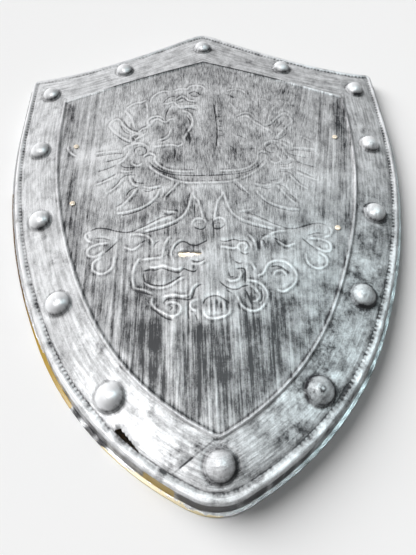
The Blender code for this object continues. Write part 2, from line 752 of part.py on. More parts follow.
def build_rivet(name, place, paint):
    """A round-headed rivet, clenched over the strap behind the sheet."""
    x, y = place
    reach = max(RIVET_HEAD_RADIUS, RIVET_TAIL_RADIUS)
    top = max(height_at(x - reach, y), height_at(x + reach, y)) + CLEARANCE
    stack = SHEET + 2 * CLEARANCE + STRAP_THICKNESS
    bottom = min(height_at(x - reach, y), height_at(x + reach, y)) - stack
    outline = (
        (0.0, top + RIVET_HEAD_HEIGHT),
        (RIVET_HEAD_RADIUS * 0.55, top + RIVET_HEAD_HEIGHT * 0.85),
        (RIVET_HEAD_RADIUS * 0.9, top + RIVET_HEAD_HEIGHT * 0.45),
        (RIVET_HEAD_RADIUS, top),
        (RIVET_SHANK_RADIUS, top),
        (RIVET_SHANK_RADIUS, bottom),
        (RIVET_TAIL_RADIUS, bottom),
        (RIVET_TAIL_RADIUS * 0.8, bottom - RIVET_TAIL_HEIGHT),
        (0.0, bottom - RIVET_TAIL_HEIGHT),
    )
    verts = [(x, y, outline[0][1])]
    for radius, level in outline[1:-1]:
        for k in range(RIVET_SIDES):
            angle = 2 * math.pi * k / RIVET_SIDES
            verts.append((x + radius * math.cos(angle), y + radius * math.sin(angle), level))
    verts.append((x, y, outline[-1][1]))
    faces = []
    rings = len(outline) - 2
    for k in range(RIVET_SIDES):
        after = (k + 1) % RIVET_SIDES
        faces.append((0, 1 + k, 1 + after))
        for row in range(rings - 1):
            a = 1 + row * RIVET_SIDES
            faces.append((a + k, a + RIVET_SIDES + k, a + RIVET_SIDES + after, a + after))
        last = 1 + (rings - 1) * RIVET_SIDES
        faces.append((last + k, len(verts) - 1, last + after))
    return new_object(name, verts, faces, paint)


def clear_scene():
    for thing in list(bpy.data.objects):
        bpy.data.objects.remove(thing, do_unlink=True)


def main():
    clear_scene()
    steel_paint = material("silver paint over black", (0.36, 0.37, 0.38), 0.42, 0.7)
    webbing = material("black strap", (0.02, 0.02, 0.022), 0.7, 0.0)
    brass = material("brass", (0.75, 0.52, 0.28), 0.3, 1.0)
    build_shell(steel_paint)
    build_strap("hand_grip", strap_ends(GRIP_RIVETS, -1), webbing)
    build_strap("arm_strap", strap_ends(ARM_RIVETS, 1), webbing)
    names = ("rivet_grip_top", "rivet_grip_bottom", "rivet_arm_top", "rivet_arm_bottom")
    for name, place in zip(names, rivet_places()):
        build_rivet(name, place, brass)


main()
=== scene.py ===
import functools
import math

import bmesh
import bpy
import numpy as np
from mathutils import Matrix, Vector, kdtree, noise
from mathutils.geometry import delaunay_2d_cdt


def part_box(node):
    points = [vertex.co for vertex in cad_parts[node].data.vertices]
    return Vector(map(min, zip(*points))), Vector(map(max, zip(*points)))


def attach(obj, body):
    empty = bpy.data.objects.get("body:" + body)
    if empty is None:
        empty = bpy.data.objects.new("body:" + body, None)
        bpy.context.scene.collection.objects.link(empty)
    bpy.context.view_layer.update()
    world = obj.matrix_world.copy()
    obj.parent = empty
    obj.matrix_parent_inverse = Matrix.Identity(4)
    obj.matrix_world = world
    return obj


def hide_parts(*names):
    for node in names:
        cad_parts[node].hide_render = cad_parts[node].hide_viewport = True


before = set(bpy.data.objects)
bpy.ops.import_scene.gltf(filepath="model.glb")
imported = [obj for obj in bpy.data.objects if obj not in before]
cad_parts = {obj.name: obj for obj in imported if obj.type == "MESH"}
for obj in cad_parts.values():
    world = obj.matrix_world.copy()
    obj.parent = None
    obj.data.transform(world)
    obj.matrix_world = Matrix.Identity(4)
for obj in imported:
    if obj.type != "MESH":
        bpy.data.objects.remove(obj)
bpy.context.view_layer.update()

mm = 0.001

# The shell is drawn in millimetres in the CAD's frame and turned to metres when its mesh is made

outline = {
    "halfWidth": 228.5,
    "cornerLevel": 90.8,      # heights are measured from where the side starts to curve
    "cornerRadius": 8.0,
    "peakRise": 75.8,
    "peakPower": 1.664,
    "peakRounding": 10.0,
    "sideRadius": 620.0,
    "sideSweep": 26.8,
    "lowerRadius": 305.0,
    "pointRadius": 50.0,
    "fineStep": 1.0,
}

fieldLine = {
    "bandWidth": 50.0,
    "bandAtPeak": 63.8,
    "bandAtCorner": 52.0,
    "cornerRadius": 4.0,
    "pointRadius": 6.0,
    "lean": 2.0,
    "halfWidth": 2.5,
    "height": 1.7,
    "grooveAt": 2.9,
    "grooveReach": 1.3,
    "grooveDepth": 0.45,
    "topShadeHalf": 1.9,         # the thin line of painted shade along the top
    "marginAt": 5.2,          # a silver edge inside the line on the lower half
    "marginReach": 1.6,
    "darkStripAt": 8.0,          # this strip beside the line is darker
    "darkStripReach": 19.0,
    "step": 1.5,
}

sheet = {
    "faceHeight": 30.0,
    "bow": 11.5,
    "bandFall": 4.5,
    "thickness": 2.0,
    "flare": 4.9,
    "wallRows": (             # share of the flare, share of the height, and how far the row wobbles
        (0.14, 0.95, 0.1), (0.22, 0.86, 0.3), (0.45, 0.62, 1.0), (0.72, 0.36, 1.0), (0.95, 0.10, 0.4),
    ),
    "lip": 4.0,
    "lipThickness": 2.0,
    "ripple": 0.22,           # gentle unevenness of a thin moulded sheet
}

bead = {
    "width": 5.8,
    "widthAtPoint": 8.2,
    "height": 1.9,
    "notchPitch": 4.65,
    "samplesPerNotch": 6,
    "notchBite": 0.12,        # how far a notch bites into the bead, as a share of its width
    "rows": (0.0, 0.12, 0.32, 0.58, 0.82, 1.0),
    "profile": (0.30, 0.82, 1.0, 0.70, 0.20, 0.0),   # height of each row, as a share
    "pits": (0.0, 0.0, 0.0, 0.0, 0.8, 1.1),         # how much each row sinks and darkens in a notch
    "grooveDepth": 0.7,
}

bosses = {
    "single": ((0.0, 262.4), (2.0, -265.9)),
    "right": ((105.4, 221.4), (199.4, 183.8), (199.0, 85.7), (183.5, -16.9), (149.7, -117.3), (92.0, -208.5)),
    "radiusTop": 11.5,
    "radiusPoint": 13.8,
    "heightShare": 0.72,
    "rings": (0.16, 0.34, 0.52, 0.68, 0.82, 0.92, 0.98, 1.04, 1.12, 1.22, 1.36),
    "sides": 40,
    "grooveDepth": 0.5,
    "grooveAt": 1.07,         # this and the next ones are shares of the radius
    "grooveReach": 0.13,
    "footAt": 0.90,
    "footReach": 0.15,
    "turnedPitch": 0.30,
}

damage = {
    "slotStart": (-32.4, -68.8),
    "slotLength": 24.0,
    "slotTall": 7.8,
    "slotLow": 2.6,
    "tearFromPoint": 73.5,
    "tearLength": 27.0,
    "tearWidth": 4.6,
    "tearFromBead": 0.4,
    "crack": ((-30.8, -266.4), (-25.8, -262.8), (-20.7, -259.2)),
    "crackDepth": 0.9,
    "hairlines": (
        ((-40.2, -272.6), (-35.0, -269.6), (-30.8, -266.4)),
        ((-20.7, -259.2), (-10.0, -251.6), (1.7, -243.8)),
    ),
}

fastening = {
    "clearance": 0.3,
    "grip": ((-154.8, 87.2), (-149.2, 2.5)),
    "arm": ((156.9, 94.6), (137.1, -38.1)),
    "strapWidth": 24.0,
    "strapThickness": 2.2,
    "strapEnd": 9.0,
    "strapSlope": 17.0,
    "strapDrop": 14.5,
    "headRadius": 3.2,
    "headHeight": 1.2,
    "shankRadius": 1.5,
    "tailRadius": 3.0,
    "tailHeight": 1.0,
}


def arcPoints(centre, radius, start, end):
    # points of an arc between two angles in degrees
    steps = max(3, math.ceil(math.radians(abs(end - start)) * radius / outline["fineStep"]))
    angles = np.radians(np.linspace(start, end, steps + 1))
    return [(centre[0] + radius * math.cos(a), centre[1] + radius * math.sin(a)) for a in angles]


def sidePath(halfWidth, startY, cornerRadius, turnStart, sideRadius, lowerRadius, pointRadius):
    # right side from the end of the top edge, round the corner and down to the point
    path = arcPoints((halfWidth - cornerRadius, startY), cornerRadius, turnStart, 0.0)
    steps = math.ceil(startY / outline["fineStep"])
    path += [(halfWidth, startY * (1 - k / steps)) for k in range(1, steps + 1)]
    sweep = outline["sideSweep"]
    sideCentre = (halfWidth - sideRadius, 0.0)
    path += arcPoints(sideCentre, sideRadius, 0.0, -sweep)[1:]
    reach = sideRadius - lowerRadius
    turn = math.radians(sweep)
    lowerCentre = (sideCentre[0] + reach * math.cos(turn), sideCentre[1] - reach * math.sin(turn))
    gap = lowerRadius - pointRadius
    pointY = lowerCentre[1] - math.sqrt(gap * gap - lowerCentre[0] ** 2)
    meet = math.degrees(math.atan2(lowerCentre[1] - pointY, -lowerCentre[0]))
    path += arcPoints(lowerCentre, lowerRadius, -sweep, -meet)[1:]
    path += arcPoints((0.0, pointY), pointRadius, -meet, -90.0)[1:]
    path[-1] = (0.0, path[-1][1])
    return path


def edgeHalf():
    # right half of the rim: the top edge rises in a curve to its peak
    o = outline
    reach = o["halfWidth"] - o["cornerRadius"]
    span = math.hypot(reach, o["peakRounding"]) - o["peakRounding"]
    steps = math.ceil(reach / o["fineStep"])
    path = []
    for k in range(steps):
        x = reach * k / steps
        share = (math.hypot(x, o["peakRounding"]) - o["peakRounding"]) / span
        path.append((x, o["cornerLevel"] + o["peakRise"] * (1 - share) ** o["peakPower"]))
    start = o["cornerLevel"] - o["cornerRadius"]
    return path + sidePath(
        o["halfWidth"], start, o["cornerRadius"], 90.0, o["sideRadius"], o["lowerRadius"], o["pointRadius"]
    )


def fieldHalf():
    # right half of the line round the field, straight along the top
    o, f = outline, fieldLine
    halfWidth = o["halfWidth"] - f["bandWidth"]
    peakY = o["cornerLevel"] + o["peakRise"] - f["bandAtPeak"]
    slope = (peakY - (o["cornerLevel"] - f["bandAtCorner"])) / halfWidth
    lean = math.atan(slope)
    startY = peakY - slope * (halfWidth - f["cornerRadius"]) - f["cornerRadius"] / math.cos(lean)
    reach = halfWidth - f["cornerRadius"] * (1 - math.sin(lean))
    steps = math.ceil(reach / o["fineStep"])
    path = [(reach * k / steps, peakY - slope * reach * k / steps) for k in range(steps)]
    return path + sidePath(
        halfWidth, startY, f["cornerRadius"], 90.0 - math.degrees(lean),
        o["sideRadius"] - f["bandWidth"], o["lowerRadius"] - f["bandWidth"], f["pointRadius"],
    )


def closeLoop(half):
    # the right half and its mirror image as one clockwise loop
    return np.array(half + [(-x, y) for x, y in reversed(half[1:-1])])


def normals(loop):
    # outward normals of a clockwise loop
    run = np.roll(loop, -1, axis=0) - np.roll(loop, 1, axis=0)
    normal = np.column_stack([-run[:, 1], run[:, 0]])
    return normal / np.linalg.norm(normal, axis=1)[:, None]


def moved(loop, distance):
    # a clockwise loop moved outwards
    return loop + normals(loop) * np.reshape(distance, (-1, 1))


def lengthsAlong(line):
    # how far along the line each of its points is
    return np.concatenate([[0.0], np.cumsum(np.linalg.norm(np.diff(line, axis=0), axis=1))])


def pointsAt(line, stops):
    # points of a line at these distances along it
    lengths = lengthsAlong(line)
    return np.column_stack([np.interp(stops, lengths, line[:, k]) for k in (0, 1)])


def resample(loop, count):
    # a closed loop with this many points, evenly spaced
    ring = np.vstack([loop, loop[:1]])
    return pointsAt(ring, lengthsAlong(ring)[-1] * np.arange(count) / count)


def resampleLine(line, step):
    # an open line with a point about every step
    whole = lengthsAlong(line)[-1]
    return pointsAt(line, np.linspace(0.0, whole, max(2, round(whole / step) + 1)))


def circle(x, y, radius, count, turn=0.0):
    angles = np.arange(count) * 2 * math.pi / count + turn
    return np.column_stack([x + radius * np.cos(angles), y + radius * np.sin(angles)])


# the origin is the middle of the outline over the lip
roughEdge = closeLoop(edgeHalf())
lipLoop = moved(roughEdge, sheet["flare"] + sheet["lip"])
middle = np.array([0.0, (lipLoop[:, 1].max() + lipLoop[:, 1].min()) / 2])
roughEdge = roughEdge - middle
perimeter = np.linalg.norm(roughEdge - np.roll(roughEdge, 1, axis=0), axis=1).sum()
notchCount = 2 * round(perimeter / bead["notchPitch"] / 2)
columns = notchCount * bead["samplesPerNotch"]
edge = resample(roughEdge, columns)
edgeNormal = normals(edge)
# the field leans a little to the right towards the point
field = closeLoop(fieldHalf()) - middle
drop = (field[:, 1].max() - field[:, 1]) / np.ptp(field[:, 1])
field = field + np.column_stack([fieldLine["lean"] * drop**8, drop * 0.0])
fieldNormal = normals(field)
widestY = -middle[1]
pointY = edge[:, 1].min()
print("outline ready:", notchCount, "notches,", columns, "columns")


def treeOf(points):
    tree = kdtree.KDTree(len(points))
    for k, p in enumerate(points):
        tree.insert((p[0], p[1], 0.0), k)
    tree.balance()
    return tree


def nearest(tree, points):
    # for each point the number of the tree's nearest entry and the distance to it
    number = np.zeros(len(points), dtype=int)
    distance = np.zeros(len(points))
    for k, p in enumerate(points):
        _, number[k], distance[k] = tree.find((p[0], p[1], 0.0))
    return number, distance


def distanceTo(places, points):
    # how far each point is from the nearest of the places
    return nearest(treeOf(places), points)[1]


edgeTree = treeOf(edge)
fieldTree = treeOf(field)


def ramp(values, start, end):
    # from nothing at the start to one at the end
    return np.clip((values - start) / (end - start), 0.0, 1.0)


def beadWidth(y):
    # the bead widens from the shield's widest part to the point
    return bead["width"] + (bead["widthAtPoint"] - bead["width"]) * ramp(y, widestY, pointY)


def bossList():
    # centre and radius of every boss: they grow a little towards the point
    b = bosses
    top, point = b["single"][0][1], b["single"][1][1]
    growth = b["radiusPoint"] - b["radiusTop"]
    places = list(b["single"]) + list(b["right"]) + [(-x, y) for x, y in b["right"]]
    return [(p, b["radiusTop"] + growth * (top - p[1]) / (top - point)) for p in places]


def smooth(points):
    # a smooth line through a few points of the drawing
    p = np.reshape(points, (-1, 2)).astype(float)
    p = np.vstack([2 * p[0] - p[1], p, 2 * p[-1] - p[-2]])
    line = []
    for a, b, c, d in zip(p, p[1:], p[2:], p[3:]):
        steps = max(2, round(np.linalg.norm(c - b)))
        for t in np.arange(steps) / steps:
            point = 2 * b + (c - a) * t + (2 * a - 5 * b + 4 * c - d) * t**2
            line.append(0.5 * (point + (3 * b - a - 3 * c + d) * t**3))
    return np.array(line + [p[-2]])


# The eagle in low relief, drawn in millimetres: fine ridges and grooves, and where the silver was brushed
# thicker or thinner. Each line is x,y pairs. Left and right are seen from the front.
eagle = {
    "ridgeHalf": 1.3,
    "ridgeHeight": 0.6,
    "grooveHalf": 1.3,
    "grooveDepth": 0.6,
    "bodyHeight": 0.5,
    "brushReach": 12.0,
    "dimReach": 10.0,
    # where the painted shade beside each ridge lies
    "shadeBesideAt": 2.3,
    "shadeBesideReach": 1.3,
    "figureReach": 18.0,
    "fadeLength": 3.0,
}

head = {
    "ridges": (
        (-68,156, -66,165, -60,172, -52,176, -45,175),
        (-39,176, -30,179, -22,178, -18,183, -11,185, -3,183, 2,177),
        (-37,158, -32,163, -28,166, -24,163, -20,158, -12,156),
        (-52,152, -45,153, -39,155, -35,150, -30,147, -20,147, -9,148),
        (-34,146, -28,144, -18,145.5, -10,143.5),
        (-27,139, -20,135, -16,127, -15.5,118, -18,109, -22,102, -25,94, -25,86),
        (-56,91, -50,93, -45,97, -42.5,103, -42,110), (-62,80, -50,81.5, -40,82, -33,80, -27,84),
        (29,174, 38,177, 46,176, 52,171, 56,163), (31,153, 35,147, 38,139), (70,159, 76,158.5, 82,154),
        (-166,89, -163,82, -158,75.5, -153,72),    # a scratch beside the upper left rivet
    ),
    "grooves": (
        (-20,169, -17,172, -12,173.5, -8,171, -5,166.5), (-18,168, -13,165, -6,165),
        (-38,158, -33,159, -28,162, -24,160, -21,156, -16,154, -9,152), (-35,156, -30,155, -25,157),
        (-52,153, -49,160, -43,165, -37,166), (-41,150, -45,144, -48,135, -49,123),
        (-28,141.5, -20,143, -14,141, -9,139), (-23,130, -19,122, -18.5,113), (-21,104, -19,95, -19,84),
        (-55,88, -48,91, -43,95), (-37,78, -37,62), (12,150, 13,128, 14,104, 12,78), (16,138, 22,138),
        (15,128, 22,127), (16,120, 22,120), (15,112, 21,111), (15,104, 21,103), (16,96, 21,95),
        (27,81, 32,75), (51,75, 58,75), (34,97, 41,95, 49,89), (26,168, 33,165, 39,159),
    ),
    "bright": (
        (-30,178, -8,180, 4,174), (-48,153, -30,146, -10,146), (-4,160, -4,130, -5,100), (24,172, 45,170),
        (27,132, 27,100, 45,105), (30,86, 50,84), (-60,82, -40,84),
    ),
    "dim": (
        (-38,138, -28,120, -34,95), (-60,112, -52,98), (-20,100, -20,86), (-50,72, -34,66),
        (98,160, 104,178), (66,150, 68,130),
    ),
}

# lines of the left wing, which the right wing mirrors
wing = {
    "ridges": (
        (-98,77, -92,82, -86,86, -79,87, -72,84, -68,79), (-74,63, -71,68, -65,70.5, -60,66, -60,59),
        (-88,38, -86,30, -82,24, -76,22.5), (-73,22, -69,20, -64,19, -58,20, -52,22),
        (-98,-8, -92,-2, -87,5, -82,13, -78,20), (-100,-14, -90,-13, -79,-10, -70,-6, -62,0, -56,8, -54,15),
        (-103,55, -96,62, -92,70, -91,76), (-100,46, -92,44, -84,45), (-130,74, -118,75.5, -102,76),
        (-126,27, -114,32, -103,38), (-112,14, -103,22, -94,34), (-84,64, -86,56, -80,52, -73,56),
    ),
    "grooves": (
        (-130,69.5, -120,71, -110,72, -97,72), (-118,60, -108,62.5, -99,65.5, -95,69),
        (-126,46, -114,50, -104,55), (-122,30, -113,36, -103,42),
        (-108,19, -101,28, -97,35, -91,39, -81,39), (-100,55, -94,50.5, -82,49.5),
        (-91,8, -87,16, -81,20, -76,21), (-101,-6, -94,0), (-84,36, -82,29, -77,27, -70,26),
        (-72,16, -66,14, -58,17, -51,19), (-94,-17, -80,-13.5, -71,-9.5, -62,-3, -57,3),
        (-99,81, -95,85, -89,88), (-73,64, -69,66.5, -64,67.5, -61,64),
        (-85,72, -84,79, -78,82, -72,79, -70,73, -74,69, -80,68), (-81,75, -76,76),
    ),
    "bright": (
        (-128,82, -98,82), (-130,66, -104,67), (-130,52, -108,58), (-128,36, -108,46), (-122,18, -100,36),
        (-110,0, -92,22), (-112,-10, -84,-4), (-66,10, -60,14), (-76,92, -72,100),
    ),
    "dim": (
        (-84,-24, -66,-22), (-72,4, -80,0), (-48,-4, -58,-12), (-74,44, -60,28), (-84,4, -76,10),
        (-88,56, -84,48),
    ),
}

# leaves above the left wing
leftLeaves = {
    "ridges": (
        (-69,116, -70,122, -66,129, -60,131, -54,129, -50,124),
        (-81,106, -77,110, -72,112, -66,117, -64,122, -58,126, -52,122, -47,121, -43,125, -38,125),
        (-99,143, -95,137, -91,130, -88,121, -86,112), (-98,147, -93,152, -87,156, -80,157, -73,161),
        (-73,156, -71.5,144, -71,128),
        (-90,91, -98,96, -106,103, -112,110, -117,118, -115,125,
         -109,129.5, -104,126, -100,118, -92,109, -85,104.5, -78,103),
        (-90,91, -90,98, -85,101.5, -78,102), (-86,88, -83,94, -77,98, -70,103),
    ),
    "grooves": (
        (-100,126, -97,119, -91,112, -85,108, -80,107), (-81,107, -77,113, -72,116, -69,117.5),
        (-69,120, -66,126, -60,128.5, -54,127, -50,122.5, -46,124), (-108,102, -101,95, -94,90, -88,89),
        (-88,98, -86,94, -85,90), (-105,120, -98,107, -90,102),
    ),
    "bright": (
        (-112,120, -104,106), (-68,120, -58,123), (-92,140, -90,124),
    ),
    "dim": (
        (-82,148, -82,128), (-84,94, -86,97),
    ),
}

# and above the right wing
rightLeaves = {
    "ridges": (
        (38,128, 44,132, 50,134, 56,133, 60,127, 64,121),
        (44,127, 52,128, 57,122, 62,116, 68,112, 74,106, 80,103),
        (70,114, 77,114, 83,119, 89,126, 95,132, 100,134.5,
         104,130, 107,121, 103,115, 96,107, 90,99, 84,93),
        (77,116, 80,128, 85,140, 89,147), (71,107, 77,106.5, 81,100, 83,94), (112,96, 120,92, 127,86),
    ),
    "grooves": (
        (71,111, 76,111, 82,115, 88,122, 95,129), (59,121, 65,118.5, 70,112),
        (38,126, 44,129, 50,131.5, 55,130, 59,124), (80,89, 90,91, 99,100), (86,108, 94,117, 98,124),
        (30,23, 36,14, 41,11, 46,14), (90,8, 95,2, 100,-3),
    ),
    "bright": (
        (84,138, 80,124), (90,98, 102,112), (58,120, 50,126),
    ),
    "dim": (
        (60,104, 60,88), (76,97, 80,99), (58,40, 60,60),
    ),
}

# crescent over the breast and the legs with their claws: the left half, mirrored to the right
crescentAndLegs = {
    "ridges": (
        (-61,61, -56,53, -50,47.5, -42,43.5, -30,41.5, -14,41),
        (-68,53, -60,44, -50,36, -40,30.5, -30,26.5, -20,24.5, 0,24),
        (-17,12, -19,2, -21,-7, -25,-17, -33,-25, -45,-31, -57,-35, -68,-39),
        (-16,13, -15,5, -11,0, -9,-8, -7,-18, -6,-25), (-50,-12, -45,-14, -38,-15, -32,-17),
        (-48,1, -46,7, -42,12, -37,19, -33,26), (-42,-22, -54,-27, -66,-33, -78,-38),
        (-127,-36, -130,-41, -127,-47, -120,-50),
        (-104,-51, -116,-52, -125,-57, -125,-65, -117,-67, -109,-61),
        (-112,-68, -119,-75, -117,-84, -107,-87, -99,-80, -98,-68),
        (-84,-42, -74,-42, -65,-45, -60,-50, -58,-57), (-89,-57, -80,-60.5, -75,-58, -70,-52),
        (-48,-66, -47,-57, -44,-50, -40,-45), (-18,-31, -16,-26, -11,-24, -5,-26, -3,-31),
    ),
    "grooves": (
        (-67,57, -60,49, -52,42.5, -42,38, -30,36, -14,35, 0,34.5),
        (-38,-18.5, -48,-20.5, -58,-26, -68,-32, -78,-37, -88,-39, -98,-37, -108,-33.5, -118,-32, -126,-35),
        (-32,-28.5, -45,-34.5, -58,-38.5, -72,-42), (-50,-17.5, -43,-17.5, -36,-18),
        (-47,5, -43,8.5, -38,15), (-128,-39, -127,-46), (-120,-45, -112,-45, -103,-48),
        (-96,-50, -102,-57, -108,-63), (-76,-57, -70,-52, -66,-50), (-58,-59, -56,-54, -52,-51),
        (-17,-33, -13,-37, -7,-38, -3,-34), (-13,-31, -8,-31),
    ),
    "bright": (
        (-125,-42, -96,-44), (-120,-60, -112,-78), (-46,-24, -70,-35), (-38,12, -48,16), (-12,20, 0,20),
    ),
    "dim": (
        (-56,46, -36,33), (-24,6, -30,-12), (-42,10, -40,-8), (-54,-44, -34,-40), (-52,76, -46,54),
        (-36,74, -36,58),
    ),
}

tail = {
    "ridges": (
        (-37,-76, -39.5,-68, -38,-60, -34,-53.5, -28,-50), (-20,-79, -13,-80, -5,-76),
        (-70,-70, -74,-75, -77,-83, -78,-92, -77,-99, -74,-105, -66,-107, -58,-111),
        (-70,-73, -60,-72, -50,-71, -47,-66),
        (-62,-82, -55,-82.5, -48,-80.5, -40,-83.5, -33,-85.5, -28,-82),
        (-66,-97, -60,-103, -50,-105.5, -40,-103, -32,-97, -25,-94),
        (-57,-114, -58,-121, -54,-127, -48,-131, -42,-134.5, -36,-135.5,
         -31,-132, -30,-126, -34,-122, -40,-121, -44,-123),
        (-47,-115, -38,-113.5, -28,-115, -21,-113, -18,-106, -12,-101),
        (-14,-131, -19,-129, -21,-124, -18,-120, -14,-119),
        (-8,-128, -7,-135, -1,-139, 8,-138, 15,-135, 18,-128), (-3,-120, -3,-134), (2,-118, 2,-134),
        (11,-121, 12,-133), (30,-65, 28.5,-60, 32,-56.5, 37,-57, 38.5,-61, 36,-64),
        (10,-60, 17,-61, 24,-62.5, 28,-61),
        (35,-99, 40,-100, 47,-102, 52,-108, 54,-116, 50,-126, 42,-132, 33,-130.5, 27,-124, 25,-115),
        (38,-105, 43,-109, 46,-115, 44,-121, 39,-123),
        (45,-95, 51,-93, 55,-87, 59,-81, 66,-78, 75,-79,
         82,-85, 85.5,-94, 83,-103, 77,-109, 70,-112.5, 64,-110),
        (62,-96, 64,-91, 69,-89, 74,-91, 75,-96), (41,-79, 45,-88),
        (15,-97, 20,-100, 27,-98, 30,-92, 28,-88), (55,-64, 54,-56, 57,-50, 63,-47),
    ),
    "grooves": (
        (-37,-71, -38,-64, -34,-57, -29,-53, -24,-54, -20,-57, -14,-58, -8,-55.5, -2,-52),
        (-20,-75, -15,-77, -10,-77, -5,-74),
        (-68,-86.5, -61,-85, -55,-85.5, -49,-83.5, -43,-86, -36,-88.5,
         -31,-89, -27,-85, -22,-87, -17,-88.5, -13,-86),
        (-67,-88, -67,-93, -64,-99, -57,-102, -48,-103, -40,-100, -34,-96, -28,-92),
        (-76,-107, -66,-110, -57,-113.5),
        (-46,-124, -45,-119, -38,-117, -30,-118, -22,-119, -18,-115, -16,-108, -12,-104, -8,-103),
        (-41,-125, -38,-127, -41,-130), (-56,-128, -50,-133, -44,-137.5, -36,-140),
        (-22,-120, -23,-130, -22,-140), (-17,-133, -14,-141),
        (-9,-125, -6,-119, 0,-116, 6,-116, 11,-119, 17,-124), (5.5,-119, 5.5,-130), (8.5,-121, 8.5,-130),
        (10,-53, 17,-54, 25,-52, 32,-54, 37,-54, 40,-58, 41,-62), (31,-67, 35,-70, 40,-69),
        (24,-77, 28,-80, 33,-80), (25,-87, 29,-86, 34,-87, 34,-95, 33,-103), (18,-89, 19,-95, 24,-95),
        (8,-100, 14,-106, 20,-109, 26,-109, 31,-106, 38,-105), (14,-109, 20,-114),
        (33,-110, 36,-118, 38,-126), (48,-108, 49,-117, 46,-124), (60,-85, 66,-84, 72,-86, 76,-91),
        (71,-95, 75,-95), (-15,-5, -15,-24), (4,-24, 5,-48),
    ),
    "bright": (
        (-60,-78, -34,-81), (-30,-74, -6,-68), (-36,-110, -24,-104), (-44,-130, -34,-130),
        (-4,-60, -5,-112), (-6,-134, 14,-134), (10,-70, 18,-82), (36,-60, 38,-78), (50,-92, 60,-77, 78,-80),
        (72,-108, 82,-100), (18,-26, 18,-32), (20,-108, 8,-114), (-38,-150, -32,-216), (24,-140, 22,-164),
        (-3,-232, -1,-205), (82,-146, 57,-202), (-98,-115, -80,-175), (119,-64, 92,-141),
    ),
    "dim": (
        (-76,-118, -64,-138), (-60,-94, -56,-90), (35,-116, 38,-124), (30,-140, 44,-142), (46,-76, 48,-62),
        (64,-122, 80,-122), (-20,-60, -14,-62), (60,-60, 76,-58), (5,-46, 4,-30), (-72,-105, -65,-157),
        (-59,-120, -54,-162), (11,-148, 9,-213), (37,-142, 34,-216), (-13,-150, -13,-210),
        (66,-133, 50,-179), (-166,140, -160,60, -152,-20), (168,140, 158,60, 152,-20),
    ),
}


def drawEagle():
    # the lines of each kind, smooth; the wing's and legs' lines also mirrored
    kinds = {}
    for kind in ("ridges", "grooves", "bright", "dim"):
        lines = [smooth(points) for piece in (head, leftLeaves, rightLeaves, tail) for points in piece[kind]]
        for line in [smooth(points) for piece in (wing, crescentAndLegs) for points in piece[kind]]:
            lines += [line, line * (-1, 1)]
        kinds[kind] = lines
    return kinds


bossPlaces = bossList()
drawing = drawEagle()
print("drawing ready:", sum(len(lines) for lines in drawing.values()), "lines")


def slit(spine, widths):
    # a narrow closed loop on both sides of a spine
    across = np.gradient(spine, axis=0)
    across = np.column_stack([-across[:, 1], across[:, 0]])
    across /= np.linalg.norm(across, axis=1)[:, None]
    half = np.array(widths)[:, None] / 2
    return np.vstack([spine + across * half, (spine - across * half)[::-1]])


def slotLoop():
    # the pointed slot in the tail, its edges a little ragged
    d = damage
    share = np.linspace(0.0, 1.0, 19)
    x = d["slotStart"][0] + share * d["slotLength"]
    y = d["slotStart"][1] + share + 0.35 * np.sin(share * 21.0)
    blunt = np.clip(0.5 + 6 * np.minimum(share, 1 - share), 0, 1)
    width = (d["slotTall"] + (d["slotLow"] - d["slotTall"]) * share) * blunt
    return slit(np.column_stack([x, y]), width * (1 + 0.08 * np.sin(share * 33.0)))


def tearLoop():
    # the tear along the rim's groove: straight beside the rim, ragged inside, blunt at its upper end
    d = damage
    path = moved(edge, -(beadWidth(edge[:, 1]) + d["tearFromBead"]))[columns // 2:]
    share = np.linspace(0.0, 1.0, 25)
    outer = pointsAt(path, d["tearFromPoint"] + d["tearLength"] * share)
    inward = np.gradient(outer, axis=0)
    inward = np.column_stack([inward[:, 1], -inward[:, 0]]) / np.linalg.norm(inward, axis=1)[:, None]
    fullness = np.interp(share, (0.0, 0.25, 0.7, 0.92, 1.0), (0.1, 0.5, 0.95, 1.1, 0.4))
    width = d["tearWidth"] * fullness * (1 + 0.14 * np.sin(share * 38.0))
    return np.vstack([outer, (outer + inward * width[:, None])[::-1]])


def holeLoops():
    # the slot, the tear and the rivets' holes
    loops = [slotLoop(), tearLoop()]
    radius = fastening["shankRadius"] + fastening["clearance"]
    angles = np.radians(np.arange(0.0, 360.0, 22.5))
    for x, y in fastening["grip"] + fastening["arm"]:
        loops.append(np.column_stack([x + radius * np.cos(angles), y + radius * np.sin(angles)]))
    return loops


def cosine(distance, reach):
    # a rounded ridge, one in the middle and nothing beyond its reach
    return 0.5 + 0.5 * np.cos(math.pi * np.clip(distance / reach, 0.0, 1.0))


def pathSamples(lines, step=0.5):
    # points along many lines, each with its fade towards the line's ends
    points, fade = [], []
    for line in lines:
        fine = resampleLine(line, step)
        travel = lengthsAlong(fine)
        points.append(fine)
        toEnd = np.minimum(travel, travel[-1] - travel)
        fade.append(np.clip(toEnd / eagle["fadeLength"] + 0.12, 0.0, 1.0))
    return np.vstack(points), np.concatenate(fade)


def hashNoise(points, size, seed):
    # smooth noise with lumps of this size
    return np.array([noise.noise(Vector((p[0] / size, p[1] / size, seed))) for p in points])


def heightAt(x):
    # the bowed sheet without its relief
    return sheet["faceHeight"] - sheet["bow"] * (x / outline["halfWidth"]) ** 2


ridgePoints, ridgeFade = pathSamples(drawing["ridges"])
groovePoints, grooveFade = pathSamples(drawing["grooves"])
ridgeTree, grooveTree = treeOf(ridgePoints), treeOf(groovePoints)
brightTree, dimTree = (treeOf(pathSamples(drawing[kind], 1.0)[0]) for kind in ("bright", "dim"))


